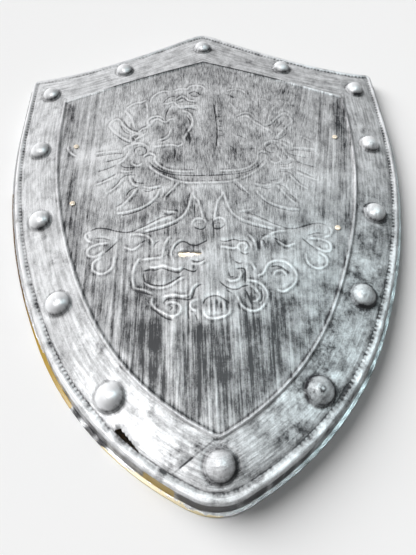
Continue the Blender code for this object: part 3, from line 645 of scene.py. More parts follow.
def shapeOfFigure(points, clear, fine):
    # the eagle's lines: what they add to the height, where they catch or miss the silver, and the painted
    # shade beside them
    e = eagle
    x, y = points[:, 0], points[:, 1]
    ridgeNumber, toRidge = nearest(ridgeTree, points)
    grooveNumber, toGroove = nearest(grooveTree, points)
    _, toBright = nearest(brightTree, points)
    _, toDim = nearest(dimTree, points)
    # the right wing is pressed less sharply
    clear = clear * (1.0 - 0.45 * ramp(x, 10, 35) * ramp(y, -60, -30))
    stroke = cosine(toRidge, e["ridgeHalf"] if fine else 4.0) * ridgeFade[ridgeNumber] * clear
    # lines are not of one strength, and a painted shade lies beside them
    worn = np.clip(0.90 + hashNoise(points, 5.0, 17.0), 0.3, 1.1)
    beside = cosine(np.abs(toRidge - e["shadeBesideAt"]), e["shadeBesideReach"])
    beside = 0.60 * beside * ridgeFade[ridgeNumber] * clear * worn
    cut = cosine(toGroove, e["grooveHalf"]) * grooveFade[grooveNumber] * clear
    body = cosine(toBright, e["brushReach"]) * clear
    height = e["ridgeHeight"] * stroke + e["bodyHeight"] * body
    height = height - e["grooveDepth"] * cut if fine else 0.6 * height
    tone = 0.75 * body - cosine(toDim, e["dimReach"]) * clear
    tone *= np.where((x > 20) & (y > -20), 0.5, 1.0)
    # the figure caught more silver than the ground round it
    tone += (0.60 * np.clip(1.4 * cosine(toRidge, e["figureReach"]), 0.0, 1.0) - 0.26) * clear
    return height, 1.2 * stroke * worn, np.maximum(1.2 * cut, beside), tone


def shapeOfBosses(points, fine):
    # the domes: their height, where they catch silver, the groove round each and the painted shade at its
    # foot
    b = bosses
    height, crest, collar, footShadeAndRings = (np.zeros(len(points)) for _ in range(4))
    for (x, y), radius in bossPlaces:
        away = np.hypot(points[:, 0] - x, points[:, 1] - y)
        size = radius if fine else radius - sheet["thickness"]
        rise = radius * b["heightShare"]
        ball = (size**2 + rise**2) / (2 * rise)
        cap = np.sqrt(np.maximum(ball**2 - away**2, 0.0)) - (ball - rise)
        height += np.where(away < size, np.maximum(cap, 0.0), 0.0)
        caught = 0.5 if y < -250 else 1.1
        crest = np.maximum(crest, caught * np.clip(5.0 * (1.0 - away / radius), 0.0, 1.0))
        dip = cosine(np.abs(away - radius * b["grooveAt"]), radius * b["grooveReach"])
        # painted shade at the foot, on the side away from the light at the upper left
        darkened = np.clip((points[:, 0] - x - points[:, 1] + y) / radius, 0.0, 1.0)
        shade = cosine(np.abs(away - radius * b["footAt"]), radius * b["footReach"])
        footShadeAndRings = np.maximum(footShadeAndRings, (0.45 + 0.55 * darkened) * shade)
        if (x, y) == b["right"][-1]:
            # turned rings show on the boss at the lower right
            turned = 0.5 - 0.5 * np.cos(2 * math.pi * away / (radius * b["turnedPitch"]))
            footShadeAndRings = np.maximum(footShadeAndRings, 0.7 * turned * (away < radius))
        collar = np.maximum(collar, dip)
        if fine:
            height -= b["grooveDepth"] * dip * (away > size)
    return height, crest, collar, footShadeAndRings


def shapeOfFace(points, fine=True):
    # height of the face and the masks that the paint and its painted light and shade follow
    f = fieldLine
    x, y = points[:, 0], points[:, 1]
    edgeNumber, toEdge = nearest(edgeTree, points)
    fieldNumber, toField = nearest(fieldTree, points)
    facing = fieldNormal[fieldNumber]
    side = ((points - field[fieldNumber]) * facing).sum(axis=1)
    inBand = side > 0
    share = np.where(inBand, toField / np.maximum(toField + toEdge, 1e-6), 0.0)
    height = heightAt(x) - sheet["bandFall"] * share**2 + sheet["ripple"] * hashNoise(points, 38.0, 3.0)
    ridge = cosine(toField, f["halfWidth"] if fine else 5.0)
    height += f["height"] * ridge * (1.0 if fine else 0.6)
    groove = cosine(np.abs(toField - f["grooveAt"]), f["grooveReach"])
    if fine:
        height -= f["grooveDepth"] * groove
    clear = ramp(toField, 4, 6) * ~inBand
    figureHeight, caught, groovesAndShadeBeside, tone = shapeOfFigure(points, clear, fine)
    bossHeight, boss, collar, footShadeAndRings = shapeOfBosses(points, fine)
    height += figureHeight + bossHeight

    # the field is darker on both sides beside its line, most of all at the top
    upper = ramp(y, 0, 60)
    darkened = cosine(np.abs(side + f["darkStripAt"]), f["darkStripReach"]) * (np.abs(facing[:, 0]) > 0.5)
    tone = np.maximum(tone - (0.35 + 0.45 * upper) * darkened, -0.95)
    # painted light: the field is lighter at its upper left and its middle right
    litUpperLeft = upper * ramp(-x, 40, 90)
    litMiddleRight = ramp(x, 40, 90) * cosine(np.abs(y - 40.0), 70.0)
    tone += (0.6 * litUpperLeft + 0.5 * litMiddleRight) * ~inBand

    # painted light and shade by how the line faces the light from the upper left: along the top the line
    # is a thin one of painted shade with silver at both ends, on the right mostly dark, and elsewhere
    # a painted highlight between dark grooves, less so towards the top
    onTop = facing[:, 1] > 0.5
    onRight = (facing[:, 0] > 0.3) & (facing[:, 1] > -0.35) & ~onTop
    atEnds = ramp(np.abs(x + 10.0), 105, 125)
    lineSilverAndHighlight = np.where(onRight, 0.45, 1.0) * np.clip((70.0 - y) / 70.0, 0.1, 1.0)
    lineSilverAndHighlight = np.where(onTop, 1.2 * atEnds, lineSilverAndHighlight)
    # the grooves beside the line are darker on the sides turned from the light: painted shade on top of the
    # black in the hollow
    outside = np.where(onTop, 0.3, np.where(onRight, 1.0, np.where(facing[:, 0] < 0, 0.9, 0.4)))
    within = np.where(onTop, 0.3, np.where(onRight, 0.5, 1.0))
    paintedTopShade = 1.8 * onTop * (1.0 - atEnds) * cosine(toField, f["topShadeHalf"])
    line = np.maximum(groove * np.where(inBand, outside, within), paintedTopShade)
    margin = cosine(np.abs(toField - f["marginAt"]), f["marginReach"]) * ~inBand
    margin = 0.7 * margin * ramp(y, 60, 0)
    return {
        "height": height, "edgeNumber": edgeNumber, "toEdge": toEdge, "inBand": inBand, "tone": tone,
        "crest": np.maximum.reduce([ridge * lineSilverAndHighlight, caught, boss, margin * lineSilverAndHighlight]),
        "hollow": np.maximum.reduce([line, 0.7 * collar, groovesAndShadeBeside, 1.6 * footShadeAndRings]),
    }


def notchStrength(points):
    # the notches are sharp on the upper sides and the right of the top edge, and worn elsewhere
    rough = hashNoise(points, 26.0, 11.0)
    upper = ramp(points[:, 1], -60, 60)
    topLeft = (points[:, 0] < -20) & (points[:, 1] > 190)
    atPoint = np.clip((points[:, 1] - pointY) / 90.0, 0.3, 1.0)
    spotty = hashNoise(points, 5.5, 27.0)
    strength = (0.75 + 0.25 * upper + 0.5 * rough + 0.9 * spotty * (1 - 0.6 * upper)) * atPoint
    return np.clip(np.where(topLeft, strength - 0.55, strength), 0.1, 1.0)


def thinOut(groups, cell=0.7):
    # keeps points that are no closer together than each group's own gap; earlier groups come first
    kept, cells = [], {}
    for points, gap in groups:
        reach = math.ceil(gap / cell)
        around = range(-reach, reach + 1)
        for x, y in points:
            column, row = math.floor(x / cell), math.floor(y / cell)
            close = gap > 0 and any(
                (a - x) ** 2 + (b - y) ** 2 < gap * gap
                for i in around for j in around for a, b in cells.get((column + i, row + j), ())
            )
            if not close:
                cells.setdefault((column, row), []).append((x, y))
                kept.append((x, y))
    return kept


def hexGrid(step):
    # points in a triangular grid over the whole face
    rows = np.arange(edge[:, 1].min(), edge[:, 1].max(), step * 0.866)
    points = []
    for k, y in enumerate(rows):
        xs = np.arange(edge[:, 0].min() + (k % 2) * step / 2, edge[:, 0].max(), step)
        points.append(np.column_stack([xs, np.full(len(xs), y)]))
    return np.vstack(points)


def insideLoop(loop, points):
    # which points lie inside a closed loop
    result = np.zeros(len(points), dtype=bool)
    x0, y0 = loop[:, 0], loop[:, 1]
    x1, y1 = np.roll(x0, -1), np.roll(y0, -1)
    run = np.where(y1 == y0, 1.0, y1 - y0)
    for start in range(0, len(points), 2000):
        x = points[start: start + 2000, 0:1]
        y = points[start: start + 2000, 1:2]
        spans = (y0 > y) != (y1 > y)
        result[start: start + 2000] = (spans & (x < (x1 - x0) * (y - y0) / run + x0)).sum(axis=1) % 2 == 1
    return result


def clearOf(holes, points, gap):
    # which points lie outside every hole and farther from it than the gap
    good = np.ones(len(points), dtype=bool)
    for hole in holes:
        good &= ~insideLoop(hole, points) & (distanceTo(hole, points) > gap)
    return good


def triangulate(loops, loose):
    # triangles between a first loop, which is the border, and further loops, which are holes
    points, edges, rows = [], [], []
    for loop in loops:
        first = len(points)
        points.extend(map(tuple, loop))
        edges.extend((first + k, first + (k + 1) % len(loop)) for k in range(len(loop)))
        rows.append(list(range(first, len(points))))
    points.extend(map(tuple, loose))
    verts, _, faces, origins, _, _ = delaunay_2d_cdt([Vector(p) for p in points], edges, [], 0, 0.01)
    place = np.array([(v.x, v.y) for v in verts])
    newNumber = {old: new for new, group in enumerate(origins) for old in group}
    rows = [[newNumber[n] for n in row] for row in rows]
    triangles = np.array([tuple(f) for f in faces])
    centres = place[triangles].mean(axis=1)
    keep = np.ones(len(triangles), dtype=bool)
    for number, row in enumerate(rows):
        onLoop = np.zeros(len(place), dtype=bool)
        onLoop[row] = True
        doubtful = np.flatnonzero(onLoop[triangles].all(axis=1))
        within = insideLoop(loops[number], centres[doubtful])
        keep[doubtful[within if number else ~within]] = False
    return place, triangles[keep].tolist(), rows


partOf = {"face": 0.0, "bead": 0.25, "wall": 0.5, "lip": 0.75, "inside": 1.0}


class Surface:
    # vertices with their masks, and the faces of the shell as it grows
    def __init__(self):
        self.verts, self.masks, self.paths, self.faces = [], [], [], []

    def addRow(self, flat, z, part, path, crest=0.0, hollow=0.0, band=1.0, tone=0.0, bare=0.0):
        first, count = sum(len(v) for v in self.verts), len(flat)
        self.verts.append(np.column_stack([flat, np.broadcast_to(z, count)]))
        masks = (crest, hollow, band, partOf[part], tone, bare)
        self.masks.append(np.column_stack([np.broadcast_to(m, count) for m in masks]))
        self.paths.append(path)
        return list(range(first, first + count))

    def places(self, row):
        return np.vstack(self.verts)[row]

    def strips(self, rows):
        # quads between closed rows of the same length
        for a, b in zip(rows, rows[1:]):
            self.faces += [(a[k], a[(k + 1) % len(a)], b[(k + 1) % len(b)], b[k]) for k in range(len(a))]

    def fan(self, many, few):
        # triangles between a fine row and a coarser one whose count divides it
        ratio = len(many) // len(few)
        for k in range(len(few)):
            after = (k + 1) % len(few)
            for j in range(ratio):
                n = k * ratio + j
                anchor = few[k] if j < ratio / 2 else few[after]
                self.faces.append((many[n], many[(n + 1) % len(many)], anchor))
            n = k * ratio + math.ceil(ratio / 2)
            self.faces.append((many[n % len(many)], few[after], few[k]))


# wear along the rim: distance down it from the peak and the strength there, on either side
wear = {
    "bareWall": {       # the paint is gone from the wall
        "left": (
            (0, 0), (560, 0), (600, 0.45), (690, 0.5), (705, 0.1), (772, 0.1), (779, 1), (803, 1),
            (809, 0.1), (843, 0),
        ),
        "right": ((0, 0), (843, 0)),
    },
    "bareLip": {        # and from the lip
        "left": (
            (0, 0), (400, 0.2), (430, 0.8), (600, 0.9), (680, 0.9), (694, 0.35), (720, 0.35),
            (736, 0.75), (765, 0.8), (843, 0.65),
        ),
        "right": ((0, 0), (800, 0.1), (843, 0.55)),
    },
    "innerLip": {       # how much of that reaches the inner part of the lip
        "left": (
            (0, 0), (590, 0), (630, 0.8), (700, 0.9), (715, 0), (752, 0.1), (768, 0.8), (806, 0.8),
            (843, 0.6),
        ),
        "right": ((0, 0), (843, 0)),
    },
    "blackLip": {
        "left": ((0, 0), (676, 0), (690, 1.8), (728, 1.8), (742, 0), (843, 0)),
        "right": ((0, 0), (843, 0)),
    },
    "darkWall": {       # partly painted shade, deepest towards the point; below nothing it is brighter than the border
        "left": ((0, 0.3), (620, 0.5), (660, 0.9), (690, 0.9), (715, 0.7), (760, 0.9), (843, 1.7)),
        "right": ((0, 0.3), (300, 0.1), (520, -0.2), (660, -0.1), (740, 0.3), (790, 1.2), (843, 1.7)),
    },
    "darkGroove": {     # the groove inside the rim between its notches
        "left": (
            (0, 0.25), (380, 0.4), (480, 0.6), (640, 0.9), (690, 1), (745, 1.3), (775, 1.6), (800, 1.2),
            (843, 0.5),
        ),
        "right": ((0, 0.25), (500, 0.5), (600, 0.8), (700, 0.7), (843, 0.7)),
    },
}


def alongRim(numbers, kind):
    # the wear of one kind at these columns of the rim
    along = np.minimum(numbers, columns - numbers) * (perimeter / columns)
    right, left = (np.interp(along, *zip(*wear[kind][side])) for side in ("right", "left"))
    return np.where(numbers < columns / 2, right, left)


def rimPath(numbers, distance, points):
    # coordinates that follow the rim: along it from the peak down either side, and across it
    along = np.minimum(numbers, columns - numbers) * (perimeter / columns)
    return np.column_stack([along, distance, points[:, 0] * 0.01])


# distances between the points of the shell's mesh
spacing = {
    "field": 5.0,
    "nearRelief": 2.8,
    "reliefReach": 6.0,
    "inside": 4.2,
    "insideLine": 3.0,
    "alongLine": 1.5,
    "alongCrack": 0.8,
    "besideLine": (0.0, 0.65, -0.65, 1.3, -1.3),
    "besideFieldLine": (1.2, -1.2, 2.1, -2.1, 2.9, -2.9, 4.2, -4.2, 6.0, -6.0),
    "besideCrack": (0.0, 0.6, -0.6, 1.3, -1.3),
    "besideHole": 0.9,
    "insideRings": ((0.4, 10), (0.7, 18), (0.9, 22), (1.0, 22), (1.2, 22)),
}

# the least distance from a point of each kind to those placed before it, or to a border
gaps = {
    "hole": 0.5,
    "crack": 0.4,
    "boss": 0.5,
    "fieldLine": 0.6,
    "besideFieldLine": 0.85,
    "line": 0.62,
    "relief": 1.7,
    "field": 2.9,
    "toHole": 0.45,
    "toBead": 0.55,
    "groove": 0.7,
    "insideBoss": 0.8,
    "insideLine": 1.5,
    "inside": 2.4,
    "insideToHole": 1.0,
    "insideToBorder": 1.6,
}


def beside(line, distance):
    # an open line moved to its left
    run = np.gradient(line, axis=0)
    run /= np.maximum(np.linalg.norm(run, axis=1), 1e-9)[:, None]
    return line + np.column_stack([-run[:, 1], run[:, 0]]) * distance


def frontPoints(holes, inner):
    # loose points of the face, densest along the relief; the groups in front win when they are thinned
    s, g = spacing, gaps
    ring = resample(field, round(len(field) / fieldLine["step"]))
    groups = [(ring, g["fieldLine"])]
    near, far = s["besideLine"], (eagle["shadeBesideAt"], -eagle["shadeBesideAt"])
    for kind, offsets in (("ridges", near), ("grooves", near), ("ridges", far)):
        lines = [resampleLine(line, s["alongLine"]) for line in drawing[kind]]
        for distance in offsets:
            groups.append((np.vstack([beside(line, distance) for line in lines]), g["line"]))
    for distance in s["besideFieldLine"]:
        groups.append((moved(ring, distance), g["besideFieldLine"]))
    for (x, y), radius in bossPlaces:
        rings = [[(x, y)]]
        for row, share in enumerate(bosses["rings"]):
            count = max(8, round(bosses["sides"] * min(1.0, share + 0.15)))
            rings.append(circle(x, y, radius * share, count, row * 0.5))
        groups.insert(0, (np.vstack(rings), g["boss"]))
    for points in (damage["crack"],) + damage["hairlines"]:
        crack = resampleLine(smooth(points), s["alongCrack"])
        for distance in s["besideCrack"]:
            groups.insert(0, (crack + (distance * 0.57, -distance * 0.82), g["crack"]))
    medium = hexGrid(s["nearRelief"])
    _, toRidge = nearest(ridgeTree, medium)
    groups += [(medium[toRidge < s["reliefReach"]], g["relief"]), (hexGrid(s["field"]), g["field"])]
    for hole in holes:
        groups.insert(0, (moved(hole[::-1], s["besideHole"]), g["hole"]))
    border = np.vstack([inner] + holes)
    kept = np.array(thinOut([(border, 0.0)] + groups)[len(border):])
    _, toEdge = nearest(edgeTree, kept)
    good = insideLoop(inner, kept) & (toEdge > beadWidth(kept[:, 1]) + g["toBead"])
    return kept[good & clearOf(holes, kept, g["toHole"])]


def buildBead(shell):
    # the roped bead round the rim, row by row from the edge inwards, falling in each notch
    wave = 0.5 - 0.5 * np.cos(2 * math.pi * np.arange(columns) / bead["samplesPerNotch"])
    strength, width = notchStrength(edge), beadWidth(edge[:, 1])
    _, edgeToField = nearest(fieldTree, edge)
    twist = 0.35 * hashNoise(edge, 9.0, 5.0)
    lowerLeft = ramp(edge[:, 1], -60, -120) * (edge[:, 0] < -20)
    stain = lowerLeft * np.clip(2.2 * hashNoise(edge, 9.0, 61.0), 0.0, 1.0)
    rows = []
    for share, profile, pit in zip(bead["rows"], bead["profile"], bead["pits"]):
        dent = strength * (1 - wave) * pit
        distance = width * share * (1 - bead["notchBite"] * dent)
        points = edge - edgeNormal * distance[:, None]
        toField = edgeToField - distance
        base = heightAt(points[:, 0])
        base -= sheet["bandFall"] * (toField / np.maximum(toField + distance, 1e-6)) ** 2
        rise = bead["height"] * (profile * (1 - 0.5 * dent) + 0.10 * twist) - 0.3 * dent
        rows.append(shell.addRow(
            points, base + rise, "bead", rimPath(np.arange(columns), distance, points),
            crest=min(0.75, 1.1 * profile) * (1 - dent),
            hollow=0.9 * dent + 1.1 * stain * (0.3 + 0.7 * share),
        ))
    shell.strips(rows)
    return rows, strength, wave


def toLines(lines, points):
    # how far each point is from the nearest of a few drawn lines
    return distanceTo(np.vstack([resampleLine(smooth(line), 0.5) for line in lines]), points)


def buildFront(shell, holes):
    # the bead, then everything inside it; gives the outer row and the rows of the holes
    rows, strength, wave = buildBead(shell)
    inner = shell.places(rows[-1])[:, :2]
    loose = frontPoints(holes, inner)
    nearBead, farther = inner - edgeNormal * 0.9, inner - edgeNormal * 2.2
    groove = thinOut([(inner, 0.0), (nearBead, gaps["hole"]), (farther, gaps["groove"])])
    groove = np.array(groove[len(inner):])
    groove = groove[clearOf(holes[:2], groove, gaps["hole"])]
    loose = thinOut([(groove, 0.0), (loose, gaps["groove"])])
    print("face points:", len(loose))
    place, triangles, loopRows = triangulate([inner] + holes, loose)
    shape = shapeOfFace(place)
    number, toInner = nearest(treeOf(inner), place)
    dip = cosine(np.abs(toInner - 1.0), 1.5)
    height = shape["height"] - bead["grooveDepth"] * dip * (0.55 + 0.45 * strength[number])
    height[loopRows[0]] = shell.places(rows[-1])[:, 2]
    toCrack, toHair = toLines([damage["crack"]], place), toLines(damage["hairlines"], place)
    height -= damage["crackDepth"] * cosine(toCrack, 1.1)
    pit = dip * (alongRim(np.arange(columns), "darkGroove") + 0.9 * strength * (1 - wave))[number]
    cracks = np.maximum(2.0 * cosine(toCrack, 1.3), 0.7 * cosine(toHair, 0.9))
    vertices = shell.addRow(
        place, height, "face", rimPath(shape["edgeNumber"], shape["toEdge"], place), crest=shape["crest"],
        hollow=np.maximum.reduce([shape["hollow"], pit, cracks]), band=1.0 * shape["inBand"],
        tone=shape["tone"],
    )
    holeRows = [[vertices[n] for n in row] for row in loopRows[1:]]
    # the border of the triangles is the bead's last row itself
    for k, n in enumerate(loopRows[0]):
        vertices[n] = rows[-1][k]
    shell.faces += [tuple(vertices[n] for n in f) for f in triangles]
    return rows[0], holeRows


def buildWall(shell, outerRow):
    # the wall falls from the rim to the lip, which turns out and has a flat foot
    s, thickness = sheet, sheet["lipThickness"]
    numbers = np.arange(0, columns, 3)
    points, normal = edge[numbers], edgeNormal[numbers]
    top = shell.places(outerRow)[numbers][:, 2]
    wobble = 0.25 * hashNoise(points, 14.0, 21.0)
    trim = 0.35 * np.abs(hashNoise(points, 7.0, 31.0))
    # the wall's darkening along the rim is partly painted shade, in blotches
    dark = alongRim(numbers, "darkWall") * (1 + 1.2 * hashNoise(points, 9.0, 41.0))
    black = alongRim(numbers, "blackLip") * (1 + hashNoise(points, 9.0, 51.0))
    bareWall, bareLip = alongRim(numbers, "bareWall"), alongRim(numbers, "bareLip")
    rows = []

    def addRow(distance, z, part, hollow, bare, drop=0.0):
        ring = points + normal * np.reshape(distance, (-1, 1))
        path = rimPath(numbers, -distance - drop, ring)
        rows.append(shell.addRow(ring, z, part, path, 0.9 if part == "lip" else 0.0, hollow, bare=bare))

    # the wall, then the lip's inner part, then round the lip's edge to the foot
    for share, level, shake in s["wallRows"]:
        z = thickness + (top - thickness) * level
        shade = dark * (0.4 if share < 0.2 else 1.0)
        addRow(s["flare"] * share + wobble * shake, z, "wall", shade, bareWall, top - z)
    innerBare = bareLip * alongRim(numbers, "innerLip")
    for share in (1.08, 1.16):
        addRow(s["flare"] * share, thickness, "lip", black, innerBare, top - thickness)
    for inward, z in ((0.7, thickness), (0.4, thickness), (0.0, thickness - 0.4), (0.0, 0.4), (0.4, 0.0)):
        addRow(s["flare"] + (s["lip"] - inward) - trim, z, "lip", black, bareLip)
    shell.fan(outerRow, rows[0])
    shell.strips(rows)
    return rows[-1]


def buildInside(shell, footRow, holes, holeRows):
    # the hollow back: the sheet's other side, with the relief showing through softened
    s, g = sheet, gaps
    numbers = np.arange(0, columns, bead["samplesPerNotch"])
    points, normal = edge[numbers], edgeNormal[numbers]
    fall = s["faceHeight"] - s["bow"] / 2 - s["bandFall"]
    inset = s["thickness"] / math.cos(math.atan(s["flare"] / fall))
    border = points - normal * inset
    fixed = np.vstack([border] + holes)
    rings = []
    for (x, y), radius in bossPlaces:
        size = radius - s["thickness"]
        rings.append([(x, y)])
        rings += [circle(x, y, size * share, count) for share, count in spacing["insideRings"]]
    step = spacing["insideLine"]
    ring = resample(field, round(len(field) / step))
    groups = [(fixed, 0.0), (np.vstack(rings), g["insideBoss"])]
    groups += [(line, g["insideLine"]) for line in (ring, moved(ring, step), moved(ring, -step))]
    loose = np.array(thinOut(groups + [(hexGrid(spacing["inside"]), g["inside"])])[len(fixed):])
    good = insideLoop(border, loose) & (distanceTo(border, loose) > g["insideToBorder"])
    good &= clearOf(holes, loose, g["insideToHole"])
    place, triangles, loopRows = triangulate([border] + holes, loose[good])
    shape = shapeOfFace(place, fine=False)
    vertices = shell.addRow(
        place, shape["height"] - s["thickness"], "inside",
        rimPath(shape["edgeNumber"], shape["toEdge"], place), crest=shape["crest"], bare=1.0,
    )
    shell.faces += [tuple(vertices[n] for n in reversed(f)) for f in triangles]
    rimRow, *backRows = [[vertices[n] for n in row] for row in loopRows]
    top = shell.places(rimRow)[:, 2]
    rows = []
    for share in (0.0, 0.35, 0.7):
        distance = (s["flare"] - inset) * (1 - share) - inset * share
        ring = points + normal * distance
        path = rimPath(numbers, np.full(len(numbers), -distance), ring)
        rows.append(shell.addRow(ring, top * share, "inside", path, bare=1.0))
    shell.fan(footRow, rows[0])
    shell.strips(rows + [rimRow])
    for front, back in zip(holeRows, backRows):
        shell.strips([front, back])


def buildShell():
    shell = Surface()
    holes = holeLoops()
    outerRow, holeRows = buildFront(shell, holes)
    footRow = buildWall(shell, outerRow)
    buildInside(shell, footRow, holes, holeRows)
    mesh = bpy.data.meshes.new("shieldShell")
    mesh.from_pydata((np.vstack(shell.verts) * mm).tolist(), [], shell.faces)
    work = bmesh.new()
    work.from_mesh(mesh)
    bmesh.ops.recalc_face_normals(work, faces=work.faces)
    bmesh.ops.triangulate(work, faces=[f for f in work.faces if len(f.verts) > 3])
    work.to_mesh(mesh)
    openEdges = sum(not e.is_manifold for e in work.edges)
    work.free()
    masks = np.vstack(shell.masks)
    for name, values in (
        ("paintAndLightMask", masks[:, :3]), ("rimPath", np.vstack(shell.paths)),
        ("partOfShell", masks[:, 3]), ("brushToneAndLight", masks[:, 4]), ("barePlastic", masks[:, 5]),
    ):
        kind, entry = ("FLOAT_VECTOR", "vector") if values.ndim == 2 else ("FLOAT", "value")
        layer = mesh.attributes.new(name, kind, "POINT")
        layer.data.foreach_set(entry, np.ascontiguousarray(values, dtype=np.float32).ravel())
    piece = bpy.data.objects.new("shieldShell", mesh)
    bpy.context.collection.objects.link(piece)
    mesh.polygons.foreach_set("use_smooth", [True] * len(mesh.polygons))
    print("shell ready:", len(mesh.polygons), "faces,", openEdges, "open edges")
    return piece


def linear(text):
    # sRGB hex to linear values
    values = [int(text[k: k + 2], 16) / 255 for k in (1, 3, 5)]
    return tuple(v / 12.92 if v <= 0.04045 else ((v + 0.055) / 1.055) ** 2.4 for v in values) + (1.0,)


def addNode(tree, kind, inputs=(), **named):
    # a node with its inputs, in order or by key, and its settings; an input takes a value, socket or node
    node = tree.nodes.new("ShaderNode" + kind)
    for name in [name for name in named if name not in node.inputs]:
        setattr(node, name, named.pop(name))
    numbered = inputs if isinstance(inputs, dict) else dict(enumerate(inputs))
    for key, value in {**numbered, **named}.items():
        if isinstance(value, bpy.types.Node):
            value = value.outputs[2 if getattr(value, "data_type", "") == "RGBA" else 0]
        if isinstance(value, bpy.types.NodeSocket):
            tree.links.new(value, node.inputs[key])
        else:
            node.inputs[key].default_value = value
    return node


def newMaterial(name):
    # an empty material, and the function that adds its nodes
    material = bpy.data.materials.new(name)
    material.use_nodes = True
    material.node_tree.nodes.clear()
    return material, functools.partial(addNode, material.node_tree)


paint = {
    "black": "#212024",
    "silver": "#eeeff1",
    "silverWithCoolReflection": "#e0e7ea",
    "plastic": "#a98b33",
    "thinPlastic": "#b3963c",
    "palePlastic": "#f0e2b8",
    "dirtyPlastic": "#5f4a30",
    "fieldSilver": 0.465,          # how much of the black the silver covers
    "lowSilver": 0.29,
    "leftSilverLit": 0.74,
    "rightSilverShaded": 0.44,
    "rightTopSilverShaded": 0.61,
    "strokeStrength": 0.60,        # how much each layer adds to that or takes away
    "borderStroke": 0.32,
    "dabbedStroke": 0.12,
    "patchStrength": 0.46,
    "dabStrength": 0.85,
    "paintedHighlight": 0.24,
    "smudge": -0.38,
    "speckleStrength": 0.20,
    "toneStrength": 0.26,
    "crestSilverAndHighlight": 0.38,
    "hollowBlackAndShade": -0.50,
    "metal": 0.22,
    "lipMetal": 0.65,
    "shortStrokes": (950.0, 90.0, 1.0),    # 1 mm by 11 mm, as fine as the picture can show
    "longStrokes": (230.0, 9.0, 1.0),      # 4 mm by 110 mm
    "borderStrokes": (0.033, 0.33, 1.0),   # 30 mm along the rim by 3 mm across it
    "patches": (75.0, 50.0, 1.0),          # 13 mm by 20 mm
    "speckles": 900.0,                     # 1 mm
    "blots": 55.0,                         # 18 mm
    "smudges": 48.0,                       # 20 mm
    "chips": 140.0,                        # 7 mm
    "longStrokesDown": (0.02, -0.13),      # from where to where each change runs, in metres
    "longStrokesAside": (0.09, 0.14),
    "leanAcross": (0.03, 0.13),
    "coolReflectionAcross": (-0.02, 0.10),
    "coolReflectionDown": (0.05, -0.10),
    "highlightAcross": (-0.025, -0.06),
    "highlightDown": (-0.185, -0.225),
    "rightSilverUp": (-0.02, 0.08),
    "leftToRight": (-0.12, 0.08),
    "fieldDown": (-0.06, -0.16),
    "dirtUp": (-0.15, -0.09),
    "paleDown": (-0.225, -0.26),
}


